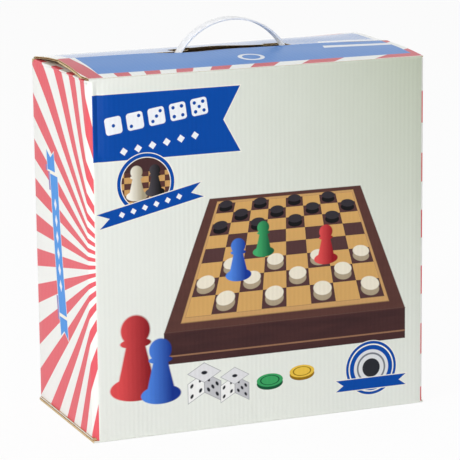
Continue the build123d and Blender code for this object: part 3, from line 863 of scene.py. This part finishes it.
flap_length = half_y - 0.5 * mm
front_tilt = asin((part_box("top_front_flap")[1].z - top_z) / flap_length)
rear_tilt = asin((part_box("top_rear_flap")[1].z - top_z) / flap_length)
front_place = Matrix.Translation((0, -half_y, top_z)) @ Matrix.Rotation(front_tilt, 4, "X")
rear_place = (
    Matrix.Translation((0, half_y, top_z)) @ Matrix.Rotation(pi, 4, "Z") @ Matrix.Rotation(rear_tilt, 4, "X")
)
left_end, right_end = flap_ends
front_bow = (
    (0, 0, 0, 0, 0, 0, 0, 0, 0),
    (1.3, 0.8, 0.6, 0.4, 0.6, 0.5, 0.3, 0, -0.4),
    (0.5, 0.5, 0.3, -1.1, -0.4, -0.7, -0.6, -1.4, -2.2),
)
rear_bow = (
    (0.3, 0.3, 0.3, 0.3, 0.3, 0.3, 0.3, 0.2, 0.2),
    (-1.5, 0.1, 0.7, 0.9, 0.9, 0.9, 0.9, 0.7, 0.5),
    (-2.0, -1.2, -0.9, -0.1, 0.8, 0.3, 0.1, -0.2, -0.6),
)
board_flap("top_front_flap", left_end, right_end, flap_length, long_crease, front_top_print, "front_flap",
           front_place, shape=reach_over, rows=front_bow)
spring_up(board_flap("top_rear_flap", -right_end, -left_end, flap_length, long_crease, rear_top_print,
                     "rear_flap", rear_place, shape=strap_cut, rows=rear_bow))
dust_low, dust_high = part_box("top_left_dust_flap")
dust_half, dust_length = (dust_high.y - dust_low.y) / 2, dust_high.x - dust_low.x


def dust_cut(length, layer):
    """Cuts both ends of the sheet in edit mode back to a taper."""
    for side in (-1, 1):
        bpy.ops.mesh.select_all(action="SELECT")
        slant = (side * cos(dust_taper), sin(dust_taper), 0)
        bpy.ops.mesh.bisect(plane_co=(side * dust_half, 0, 0), plane_no=slant, clear_outer=True)


for side, name in ((-1, "left"), (1, "right")):
    place = Matrix.Translation((side * half_x, 0, dust_z)) @ Matrix.Rotation(side * pi / 2, 4, "Z")
    flap = board_flap(f"top_{name}_dust_flap", -dust_half, dust_half, dust_length, dust_crease,
                      narrow_side_print, f"{name}_dust_flap", place, shape=dust_cut)
    if side > 0:
        spring_up(flap)

# ================================================================ top creases
# The scored folds. The flutes are crushed and the outer liner rolls over from the wall to the flap.


def follow_wall(strip):
    """The left dust crease's lower edge leans in with the wall, and its upper edge stays with the flap."""
    low, high = (-half_x, -half_y, side_wall_high), (-62.5 * mm, half_y, dust_z)
    sway(strip, low, high, (2, 9, 2), lambda u, v, w: (left_lean[v] * (1 - w) * (1 - u), 0, 0))


def crease(name, width, radius, lean, finish, place):
    """A strip of outer liner, rolled from the wall to the flap; its frame is the flap's, unleaned."""
    bpy.ops.object.select_all(action="DESELECT")
    bpy.ops.mesh.primitive_plane_add(size=1, location=(0, liner / 2, -radius))
    strip = bpy.context.object
    strip.name = name
    strip.scale = (width, liner, 1)
    settle(strip)
    edit(strip)
    slice_across(0, between(-width / 2, width / 2, flap_step))
    bpy.ops.mesh.select_all(action="SELECT")
    bpy.ops.mesh.spin(steps=8, angle=pi / 2 - lean, center=(0, radius, -radius), axis=(1, 0, 0))
    bpy.ops.mesh.select_all(action="SELECT")
    bpy.ops.mesh.remove_doubles(threshold=0.01 * mm)
    bpy.ops.mesh.normals_make_consistent(inside=False)
    settle(strip)
    give(strip, finish)
    strip.matrix_world = place
    settle(strip)
    if name == "left_dust_crease":
        follow_wall(strip)
        turned_end = (0, 0, 0)
    else:
        spring_up(strip)
        turned_end = (0, radius, -radius)
    smooth(strip, 50)
    start, end = place @ Vector((0, 0, -radius)), place @ Vector(turned_end)
    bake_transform(strip)


turn_about = Matrix.Rotation(pi, 4, "Z")
crease("front_crease", 2 * (half_x - round_corner), long_crease, front_tilt, long_side_print,
       Matrix.Translation((0, -half_y, top_z)))
crease("rear_crease", 2 * (half_x - round_corner), long_crease, rear_tilt, long_side_print,
       Matrix.Translation((0, half_y, top_z)) @ turn_about)
for side, name in ((-1, "left"), (1, "right")):
    place = Matrix.Translation((side * half_x, 0, dust_z)) @ Matrix.Rotation(side * pi / 2, 4, "Z")
    crease(f"{name}_dust_crease", 2 * dust_half - 2 * mm, dust_crease, 0.0, narrow_side_print,
           place)

# ================================================================ carry strap
# A springy strap of milky polythene, moulded flat and bent into an arch. It stands in the rear
# flap's two notches and is held under the board by the foot plates at its ends.
strap_low, strap_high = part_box("carry_strap")
strap_width, strap_thickness = strap_high.y - strap_low.y, 1.5 * mm
strap_middle = (strap_high.y + strap_low.y) / 2
arch = 49.5 * mm  # radius to the middle of the strap
arch_z = strap_high.z - strap_thickness / 2 - arch
foot_thickness, foot_length = 2.0 * mm, 30.0 * mm
foot_top = strap_low.z + foot_thickness


def milky_plastic():
    material, root, place, (x, y, z) = new_material("milky_polythene")
    clouds = place.noise(60.0, 2.0)
    colour = clouds.between(ink(251, 252, 252), ink(242, 245, 247))
    scratches = place.noise(500.0, 3.0, stretch=(0.1, 1, 1))
    settings = {"Base Color": colour, "Roughness": 0.32 + scratches * 0.15, "IOR": 1.5,
                "Subsurface Weight": 0.5, "Subsurface Scale": 2.0 * mm,
                "Subsurface Radius": (1, 1, 1)}
    return finish_material(material, root, settings, scratches, depth=0.04 * mm, strength=0.3)


strap_material = milky_plastic()
leg_turn = asin((foot_top - arch_z) / arch)  # the strap's ends over the level through the arch's centre
bpy.ops.object.select_all(action="DESELECT")
bpy.ops.mesh.primitive_plane_add(size=1, location=(strap_x - arch, strap_middle, arch_z))
strap = bpy.context.object
strap.name = "carry_strap_moulding"
strap.scale = (strap_thickness, strap_width, 1)
settle(strap)
edit(strap)
bpy.ops.mesh.bevel(offset=0.45 * mm, segments=3, affect="VERTICES")
bpy.ops.mesh.select_all(action="SELECT")
centre = (strap_x, strap_middle, arch_z)
bpy.ops.transform.rotate(value=-leg_turn, orient_axis="Y", center_override=centre)
bpy.ops.mesh.spin(steps=56, angle=2 * leg_turn - pi, center=centre, axis=(0, 1, 0))
bpy.ops.mesh.select_all(action="SELECT")
bpy.ops.mesh.remove_doubles(threshold=0.01 * mm)
bpy.ops.mesh.normals_make_consistent(inside=False)
settle(strap)
leg_reach = arch * cos(leg_turn)
leg_xs = (strap_x - leg_reach, strap_x + leg_reach)
feet = []
for x in leg_xs:
    low = (x - foot_length / 2, strap_low.y, strap_low.z)
    high = (x + foot_length / 2, strap_high.y, strap_low.z + foot_thickness)
    foot = box_piece("strap_foot", low, high)
    edit(foot)
    pick("edges", upright_edge)
    bpy.ops.mesh.bevel(offset=3 * mm, segments=5, affect="EDGES")
    settle(foot)
    modify(foot, "BEVEL", width=0.4 * mm, segments=2, angle_limit=radians(40))
    feet.append(foot)
bpy.ops.object.select_all(action="DESELECT")
for piece in (*feet, strap):
    piece.select_set(True)
bpy.context.view_layer.objects.active = strap
bpy.ops.object.join()
give(strap, strap_material)
smooth(strap, 40)
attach(strap, "strap")
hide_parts("carry_strap")

# ================================================================ games chest
# A small cabinet of stained hardwood boards, dowelled and glued, that lies on its back in the carton.
# Its lid is a chess board: thin veneer squares inside a pale stringing, let into the top board.


def wood(name, along, light_tone, dark_tone, gloss=0.38, pores=0.5):
    """Straight-grained timber under satin lacquer: long streaks along one axis, and fine pores."""
    material, root, place, xyz = new_material(name)
    squash = [0.05 if axis == along else 1.0 for axis in range(3)]
    streaks = place.noise(95.0, 4.0, stretch=squash)
    bands = (place.noise(26.0, 2.0, stretch=squash) * 6.0) % 1.0
    fine = place.noise(1100.0, 2.0, stretch=squash)
    colour = (streaks * 0.7 + abs(bands - 0.5) * 0.6).between(ink(*dark_tone), ink(*light_tone))
    pore_share = ((fine - 0.52) * 5.0).math("MAXIMUM", 0.0) * pores
    colour = colour.mix(ink(*(0.5 * tone for tone in dark_tone)), pore_share)
    settings = {"Base Color": colour, "Roughness": gloss + (fine - 0.5) * 0.2, "IOR": 1.45}
    return finish_material(material, root, settings, fine * -1.0 + streaks, depth=0.05 * mm, strength=0.4)


def finish_nodes(material, *names):
    """Gives CAD nodes whose shape is right a better finish, and keeps their meshes."""
    for name in names:
        for slot in bpy.data.objects[name].material_slots:
            slot.material = material


mahogany, mahogany_dark = (112, 62, 46), (58, 30, 26)
birch, birch_dark = (222, 194, 150), (190, 156, 108)
chest_wood_across = wood("chest_wood_across", 0, mahogany, mahogany_dark)
chest_wood_along = wood("chest_wood_along", 2, mahogany, mahogany_dark)
inside_birch = wood("inside_birch", 2, birch, birch_dark, gloss=0.55, pores=0.3)
finish_nodes(chest_wood_across, "chest_top_board", "chest_back_panel", "chest_front_rail")
finish_nodes(chest_wood_along, "chest_left_side", "chest_right_side")
finish_nodes(inside_birch, "chest_base_panel", "carcass_dowels")
finish_nodes(wood("maple_veneer", 0, (232, 200, 144), (206, 166, 106), pores=0.25), "chess_squares_light")
finish_nodes(wood("walnut_veneer", 2, (98, 60, 48), (60, 36, 32)), "chess_squares_dark")
finish_nodes(wood("holly_stringing", 0, (240, 222, 180), (222, 198, 150), pores=0.15), "inlay_stringing")

# ================================================================ pull-out game boards
# Two thin plywood boards that slide in grooves of the chest's sides, each with a hardwood lipping
# glued to its front edge. One is printed for backgammon and the other for the mill game.
board_middle_z = (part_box("upper_game_board")[0].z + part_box("upper_game_board")[1].z) / 2 / mm


def printed_panel(name, paint):
    """Plywood whose face is screen printed under a clear lacquer."""
    material, root, place, (x, y, z) = new_material(name)
    grain = place.noise(120.0, 3.0, stretch=(0.06, 1, 1))
    colour = grain.between(ink(176, 112, 70), ink(140, 84, 54))
    colour = paint(colour, x, z - board_middle_z)
    settings = {"Base Color": colour, "Roughness": 0.4 + (grain - 0.5) * 0.2, "IOR": 1.45}
    return finish_material(material, root, settings, grain, depth=0.04 * mm, strength=0.3)


def paint_backgammon(colour, x, up):
    """Twenty-four long points in two colours, six to a quarter, about a bar."""
    quarter, point = abs(x) - 6.0, 16.0
    number = (quarter / point).math("FLOOR")
    here = quarter % point - point / 2
    reach = (abs(up) - 22.0) * (7.4 / 80.0)
    spike = (abs(here) - reach) & (abs(up) - 102.0) & (22.0 - abs(up)) & (quarter - 6 * point) & -quarter
    red, cream_ink = ink(150, 32, 30), ink(236, 214, 160)
    turn = (number + (up.math("GREATER_THAN", 0.0)) + x.math("GREATER_THAN", 0.0)) % 2.0
    colour = colour.mix(turn.between(red, cream_ink), spike.inside())
    frame_line = abs((abs(x) - 104.0) & (abs(up) - 104.0)) - 0.6
    return colour.mix(cream_ink, frame_line.inside())


def paint_mill(colour, x, up):
    """Three nested squares joined by four short lines, with a dot at every corner."""
    square, gap = abs(x) & abs(up), 32.0
    lines = (abs(x) | abs(up)) - 0.9 & (gap - square) & (square - 3 * gap)
    dots = None
    for ring in (gap, 2 * gap, 3 * gap):
        lines = lines | (abs(square - ring) - 0.9)
        corner = circle(abs(x), abs(up), (ring, ring), 3.6)
        dots = corner if dots is None else dots | corner
    return colour.mix(ink(32, 26, 30), (lines | dots).inside())


finish_nodes(printed_panel("backgammon_print", paint_backgammon), "upper_game_board")
finish_nodes(printed_panel("mill_print", paint_mill), "lower_game_board")
finish_nodes(chest_wood_across, "upper_board_lipping", "lower_board_lipping")

# ================================================================ drawer
# Its front is stained like the chest and has a finger slot. Sides, back and dividers are plain
# birch, and the thin bottom sits in grooves.
finish_nodes(chest_wood_across, "drawer_front")
finish_nodes(inside_birch, "drawer_left_side", "drawer_right_side", "drawer_long_divider", "drawer_bottom")
finish_nodes(wood("birch_across", 0, birch, birch_dark, gloss=0.55, pores=0.3), "drawer_back",
             "drawer_cross_dividers")

# ================================================================ draughts
# Turned hardwood discs, twelve pale and twelve dark, with rings cut into both faces. They stand in
# two rolls at the back of the drawer.


def solids_in(node):
    """The boxes of a CAD node's separate solids, as (low, high), in order of place."""
    mesh = bmesh.new()
    mesh.from_mesh(bpy.data.objects[node].data)
    bmesh.ops.remove_doubles(mesh, verts=mesh.verts, dist=0.001 * mm)
    boxes, seen = [], set()
    for start in mesh.verts:
        if start in seen:
            continue
        solid, reach = [], [start]
        seen.add(start)
        while reach:
            vert = reach.pop()
            solid.append(vert.co.copy())
            for edge in vert.link_edges:
                other = edge.other_vert(vert)
                if other not in seen:
                    seen.add(other)
                    reach.append(other)
        boxes.append(tuple(Vector([pick_end(co[axis] for co in solid) for axis in range(3)])
                           for pick_end in (min, max)))
    mesh.free()
    return sorted(boxes, key=lambda box: [round(value, 5) for value in box[0]])


def spread(piece, boxes, name, node, body, *materials):
    """Copies a finished piece from the first box to each, and joins the set that replaces a node."""
    copies = []
    for box in boxes:
        copy = piece.copy()
        copy.data = piece.data.copy()
        copy.data.transform(Matrix.Translation(middle_between(box) - middle_between(boxes[0])))
        bpy.context.collection.objects.link(copy)
        copies.append(copy)
    bpy.data.objects.remove(piece)
    return join_set(copies, name, node, body, *materials)


def join_set(copies, name, node, body, *materials):
    bpy.ops.object.select_all(action="DESELECT")
    for copy in copies:
        copy.select_set(True)
    bpy.context.view_layer.objects.active = copies[0]
    if len(copies) > 1:
        bpy.ops.object.join()
    whole = bpy.context.object
    whole.name = name
    if materials:
        give(whole, *materials)
    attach(whole, body)
    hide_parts(node)
    return whole


def middle_between(box):
    return (box[0] + box[1]) / 2


def draught_set(name, node, material):
    """One disc, turned with rings on both faces, then copied along the roll."""
    boxes = solids_in(node)
    first = boxes[0]
    radius, depth = (first[1].y - first[0].y) / 2, first[1].x - first[0].x
    bpy.ops.object.select_all(action="DESELECT")
    bpy.ops.mesh.primitive_cylinder_add(
        vertices=32, radius=radius, depth=depth, location=middle_between(first), rotation=(0, pi / 2, 0)
    )
    disc = settle(bpy.context.object)
    edit(disc)
    pick("faces", lambda f: abs(f.normal.x) > 0.9)
    for width, sink in ((1.8, 0), (0.5, -0.45), (0.5, 0), (0.5, 0.45), (2.6, 0), (0.5, -0.45), (0.5, 0.45)):
        bpy.ops.mesh.inset(thickness=width * mm, depth=sink * mm)
    pick("edges", lambda e: abs((e.verts[0].co - e.verts[1].co).x) < mm / 100 and all(
        (v.co - middle_between(first)).yz.length > radius - mm / 10 for v in e.verts))
    bpy.ops.mesh.bevel(offset=0.5 * mm, segments=2, affect="EDGES")
    smooth(disc, 30)
    spread(disc, boxes, name, node, "drawer", material)


pale_turning = wood("pale_turning", 0, (238, 216, 170), (216, 184, 130), gloss=0.3, pores=0.25)
dark_turning = wood("dark_turning", 0, (70, 42, 34), (34, 20, 18), gloss=0.3)
draught_set("draughts_pale_set", "draughts_light", pale_turning)
draught_set("draughts_dark_set", "draughts_dark", dark_turning)

# ================================================================ chess men
# Turned hardwood men, sixteen to a side. Each stands on a felted base in the drawer, and the back
# rank is the tallest. The profile gives each turned ring as (radius, height) in shares of the man.
tall_foot = ((1, 0.03), (1, 0.09), (0.82, 0.13), (0.86, 0.16))
king = (*tall_foot, (0.5, 0.22), (0.36, 0.5), (0.5, 0.6), (0.66, 0.62), (0.46, 0.66), (0.42, 0.7),
        (0.6, 0.85), (0.48, 0.87), (0.16, 0.91), (0.2, 0.95), (0.08, 1.0))
queen = (*tall_foot, (0.48, 0.22), (0.34, 0.5), (0.5, 0.6), (0.64, 0.62), (0.42, 0.66), (0.4, 0.7),
         (0.62, 0.88), (0.3, 0.86), (0.16, 0.9), (0.14, 0.94), (0.05, 0.96))
bishop = ((1, 0.03), (1, 0.09), (0.8, 0.14), (0.44, 0.22), (0.32, 0.5), (0.46, 0.58), (0.58, 0.6),
          (0.36, 0.64), (0.46, 0.72), (0.42, 0.82), (0.2, 0.92), (0.08, 0.94), (0.12, 0.97), (0.05, 0.99))
rook = ((1, 0.04), (1, 0.12), (0.8, 0.17), (0.5, 0.26), (0.44, 0.62), (0.66, 0.72), (0.66, 0.98),
        (0.46, 0.98), (0.44, 0.86), (0.1, 0.86))
pawn_profile = ((1, 0.04), (1, 0.12), (0.78, 0.18), (0.42, 0.28), (0.28, 0.54), (0.52, 0.62), (0.34, 0.66),
                (0.5, 0.76), (0.52, 0.84), (0.4, 0.94), (0.14, 0.99))


def turned_man(box, profile, share=1.0):
    """A man turned from a round blank, standing on the drawer's floor with its head to the front."""
    low, high = box
    radius, height = (high.x - low.x) / 2, (high.y - low.y) * share
    foot = Vector(((low.x + high.x) / 2, high.y, (low.z + high.z) / 2))
    bpy.ops.object.select_all(action="DESELECT")
    bpy.ops.mesh.primitive_circle_add(
        vertices=16, radius=radius * 0.94, fill_type="NGON", location=foot, rotation=(pi / 2, 0, 0)
    )
    man = settle(bpy.context.object)
    edit(man)
    bpy.ops.mesh.select_all(action="SELECT")
    last_radius, last_level = 0.94, 0.0
    for ring, level in profile:
        rise = {"value": (0, (last_level - level) * height, 0)}
        bpy.ops.mesh.extrude_region_move(TRANSFORM_OT_translate=rise)
        centre = foot - Vector((0, level * height, 0))
        grow = ring / last_radius
        bpy.ops.transform.resize(value=(grow, 1, grow), center_override=centre)
        last_radius, last_level = ring, level
    bpy.ops.mesh.select_all(action="SELECT")
    bpy.ops.mesh.normals_make_consistent(inside=False)
    return smooth(man, 40)


def chess_set(name, node, material):
    """The tallest four are king, queen and bishops, then four rooks, then two ranks of pawns."""
    boxes = sorted(solids_in(node), key=lambda box: (round(box[0].y, 4), round(box[0].x, 4)))
    kinds = [(king, 1.0), (queen, 1.0), (bishop, 0.97), (bishop, 0.97)] + [(rook, 0.9)] * 4
    kinds += [(pawn_profile, 0.95)] * 8
    men = [turned_man(box, profile, share) for box, (profile, share) in zip(boxes, kinds)]
    join_set(men, name, node, "drawer", material)


chess_set("chess_men_pale_set", "chess_men_light", pale_turning)
chess_set("chess_men_dark_set", "chess_men_dark", dark_turning)

# ================================================================ dominoes
# A double-six set of moulded tiles, black at the back and ivory on the face, with a cut line across the
# middle. They stand on edge in two rows.


def domino_plastic():
    """Ivory and black in one tile: the seam between them follows each tile across the row."""
    material, root, place, (x, y, z) = new_material("domino_plastic")
    low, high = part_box("dominoes")
    step = (high.x - low.x + 0.2 * mm) / tiles_in_row / mm
    across = (x - low.x / mm) % step
    clouds = place.noise(200.0, 2.0)
    ivory = clouds.between(ink(240, 234, 216), ink(228, 218, 194))
    colour = ivory.mix(ink(24, 24, 28), (across - 2.2).inside(0.05))
    settings = {"Base Color": colour, "Roughness": 0.3 + clouds * 0.1}
    return finish_material(material, root, settings, clouds, depth=0.02 * mm, strength=0.2)


domino_boxes = solids_in("dominoes")
tiles_in_row = len({round(box[0].x, 5) for box in domino_boxes})
first = domino_boxes[0]
tile = box_piece("domino", first[0], first[1])
edit(tile)
tile_middle = middle_between(first)
slice_across(2, [tile_middle.z - 0.5 * mm, tile_middle.z + 0.5 * mm])
pick("faces", lambda f: f.normal.x > 0.9 and abs(middle_of(f).z - tile_middle.z) < 0.4 * mm)
bpy.ops.mesh.inset(thickness=0.2 * mm, depth=-0.4 * mm)
settle(tile)
modify(tile, "BEVEL", width=0.5 * mm, segments=2, angle_limit=radians(60))
smooth(tile, 30)
spread(tile, domino_boxes, "domino_set", "dominoes", "drawer", domino_plastic())

# ================================================================ dice
# Five moulded dice with round corners. The pips are drilled a little way in and filled with paint.


def dice_plastic():
    """White plastic, with black pips that repeat from die to die along the row."""
    material, root, place, (x, y, z) = new_material("dice_plastic")
    low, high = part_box("dice")
    centre = (low + high) / 2 / mm
    step = die_side + 0.2
    dx, dy = x - centre.x, y - centre.y
    dz = (z - (low.z / mm - 0.1)) % step - step / 2
    far = 0.27 * die_side
    ends = circle(abs(dx), abs(dz), (far, far), 1.05) & (die_side / 2 - 0.6 - abs(dy))
    sides = (circle(abs(dy), abs(dz), (far, far), 1.05) | circle(dy, dz, (0, 0), 1.05)) & (
        die_side / 2 - 0.6 - abs(dx))
    tops = circle(dx, dy, (0, 0), 1.3) & (die_side / 2 - 0.6 - abs(dz))
    pips = (ends | sides | tops).inside(0.06)
    clouds = place.noise(300.0, 1.0)
    colour = clouds.between(ink(244, 242, 236), ink(234, 230, 222)).mix(ink(20, 20, 24), pips)
    settings = {"Base Color": colour, "Roughness": 0.25 + clouds * 0.1}
    return finish_material(material, root, settings, 1.0 - pips, depth=0.3 * mm, strength=0.6)


die_boxes = solids_in("dice")
first = die_boxes[0]
die_side = (first[1].y - first[0].y) / mm
one_die = box_piece("one_die", first[0], first[1])
modify(one_die, "BEVEL", width=1.3 * mm, segments=4, angle_limit=radians(60))
smooth(one_die, 40)
spread(one_die, die_boxes, "dice_set", "dice", "drawer", dice_plastic())

# ================================================================ playing cards
# A pack of smooth white cards with round corners. The edges show as fine grey lines, painted shade in the
# seams between the cards, and the uppermost back carries a plain lattice inside a white margin.


def card_paper():
    """White card edges with fine lines of painted shade between the cards, and a blue lattice on the back."""
    material, root, place, (x, y, z) = new_material("card_paper")
    low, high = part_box("playing_cards")
    centre, half = (low + high) / 2 / mm, (high - low) / 2 / mm
    dx, dz = x - centre.x, z - centre.z
    edges = ((y * (1 / 0.32)) % 1.0 - 0.5).math("ABSOLUTE")
    # Painted shade: grey lines every 0.32 mm across the pack, darkest at the seams between the cards.
    colour = place.mix(ink(244, 242, 236), 1.0).mix(ink(206, 202, 194), edges * 0.8)
    lattice = abs((dx + dz) % 6.0 - 3.0) | abs((dx - dz) % 6.0 - 3.0)
    inner = (abs(dx) - half.x + 4.0) & (abs(dz) - half.z + 4.0) & (y - low.y / mm - 0.2)
    colour = colour.mix(ink(34, 76, 160), inner.inside())
    colour = colour.mix(ink(236, 238, 244), ((lattice - 0.7) & inner).inside())
    settings = {"Base Color": colour, "Roughness": 0.42 + edges * 0.2}
    return finish_material(material, root, settings, edges, depth=0.05 * mm, strength=0.3)


card_low, card_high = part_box("playing_cards")
pack = box_piece("card_pack", card_low, card_high)
edit(pack)
pick("edges", lambda e: abs((e.verts[0].co - e.verts[1].co).y) > mm)
bpy.ops.mesh.bevel(offset=3 * mm, segments=6, affect="EDGES")
pick("faces", lambda f: abs(f.normal.y) > 0.9)
bpy.ops.mesh.inset(thickness=0.3 * mm)
settle(pack)
modify(pack, "BEVEL", width=0.15 * mm, segments=1, angle_limit=radians(60))
smooth(pack, 30)
give(pack, card_paper())
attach(pack, "drawer")
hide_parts("playing_cards")

# ================================================================ pick-up sticks
# Thin bamboo sticks, pointed at both ends and painted in bands, in two layers.


def painted_bamboo():
    material, root, place, (x, y, z) = new_material("painted_bamboo")
    low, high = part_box("pick_up_sticks")
    from_middle = abs(z - (low.z + high.z) / 2 / mm)
    number = ((x - low.x / mm) / 3.2).math("FLOOR")
    grain = place.noise(300.0, 3.0, stretch=(1, 1, 0.1))
    colour = grain.between(ink(228, 200, 146), ink(200, 166, 108))
    for turn, tone in ((0, (196, 40, 40)), (1, (40, 84, 180)), (2, (36, 128, 70))):
        mine = 1.0 - (number % 3.0 - float(turn)).math("ABSOLUTE").math("MINIMUM", 1.0)
        bands = (abs(from_middle - 30.0) - 3.0) | (abs(from_middle - 40.0) - 1.5)
        colour = colour.mix(ink(*tone), bands.inside() * mine)
    settings = {"Base Color": colour, "Roughness": 0.45 + grain * 0.1}
    return finish_material(material, root, settings, grain, depth=0.03 * mm, strength=0.3)


stick_boxes = solids_in("pick_up_sticks")
first = stick_boxes[0]
stick_radius = (first[1].y - first[0].y) / 2
bpy.ops.object.select_all(action="DESELECT")
bpy.ops.mesh.primitive_cylinder_add(
    vertices=10, radius=stick_radius, depth=first[1].z - first[0].z, location=middle_between(first)
)
stick = settle(bpy.context.object)
edit(stick)
slice_across(2, [first[0].z + 6 * mm, first[1].z - 6 * mm])
for end in (first[0].z, first[1].z):
    pick("verts", lambda v: abs(v.co.z - end) < mm / 10)
    centre = (middle_between(first).x, middle_between(first).y, end)
    bpy.ops.transform.resize(value=(0.18, 0.18, 1), center_override=centre)
smooth(stick, 40)
sticks = spread(stick, stick_boxes, "pick_up_stick_set", "pick_up_sticks", "drawer", painted_bamboo())

# ================================================================ studio
# A plain pale floor that keeps the object's shadow, and a white room for what the gloss sees. Of
# the soft lamps, the key stands to the left and above, one hangs overhead and one is low in front.


def shown_white(root):
    """1 for what the camera sees, straight, mirrored or through the plastic, and 0 for the light."""
    sees = root.node("ShaderNodeLightPath").socket.node.outputs
    rays_seen = [Wire(root.tree, sees[f"Is {kind} Ray"]) for kind in ("Camera", "Glossy", "Transmission")]
    return (rays_seen[0] + rays_seen[1] + rays_seen[2]).math("MINIMUM", 1.0)


bpy.ops.object.select_all(action="DESELECT")
bpy.ops.mesh.primitive_plane_add(size=8, location=(0, 0, 0))
floor = bpy.context.object
floor.name = "studio_floor"
material, root, place, (x, y, z) = new_material("studio_floor")
grain = place.noise(3.0, 2.0)
floor_white = grain.between(ink(250, 250, 250), ink(246, 246, 246))
matt = root.node("ShaderNodeBsdfDiffuse", {}, {"Color": floor_white})
glow = root.node("ShaderNodeEmission", {}, {"Color": ink(255, 255, 255), "Strength": 1.0})
white_share = shown_white(root) * 0.94
surface = root.node("ShaderNodeMixShader", {}, {0: white_share, 1: matt, 2: glow})
root.node("ShaderNodeOutputMaterial", {}, {"Surface": surface})
give(floor, material)

world = bpy.data.worlds.new("studio")
bpy.context.scene.world = world
world.use_nodes = True
world.node_tree.nodes.clear()
root = Wire(world.node_tree)
way = root.node("ShaderNodeTexCoord", output="Generated")
toward_right = root.node("ShaderNodeSeparateXYZ", {}, {0: way})
dim = 0.38 - toward_right * 0.3  # the room is darker on the right
room = root.node("ShaderNodeBackground", {}, {"Color": ink(250, 250, 252), "Strength": dim})
white = root.node("ShaderNodeBackground", {}, {"Color": ink(255, 255, 255), "Strength": 1.0})
shown = root.node("ShaderNodeMixShader", {}, {0: shown_white(root), 1: room, 2: white})
root.node("ShaderNodeOutputWorld", {}, {"Surface": shown})


def lamp(name, place, size, power):
    """A soft square lamp that faces the carton's middle."""
    aim = Vector((0, 0, 0.13)) - Vector(place)
    bpy.ops.object.light_add(type="AREA", location=place, rotation=aim.to_track_quat("-Z", "Y").to_euler())
    light = bpy.context.object
    light.name = name
    light.data.shape = "SQUARE"
    light.data.size = size
    light.data.energy = power


lamp("key_lamp", (-1.75, -1.0, 1.3), 0.7, 17)
lamp("top_lamp", (0.35, 0.2, 2.0), 1.0, 9)
lamp("front_lamp", (-0.8, -2.2, 0.3), 1.0, 18)

view = bpy.context.scene.view_settings
view.view_transform = "Standard"
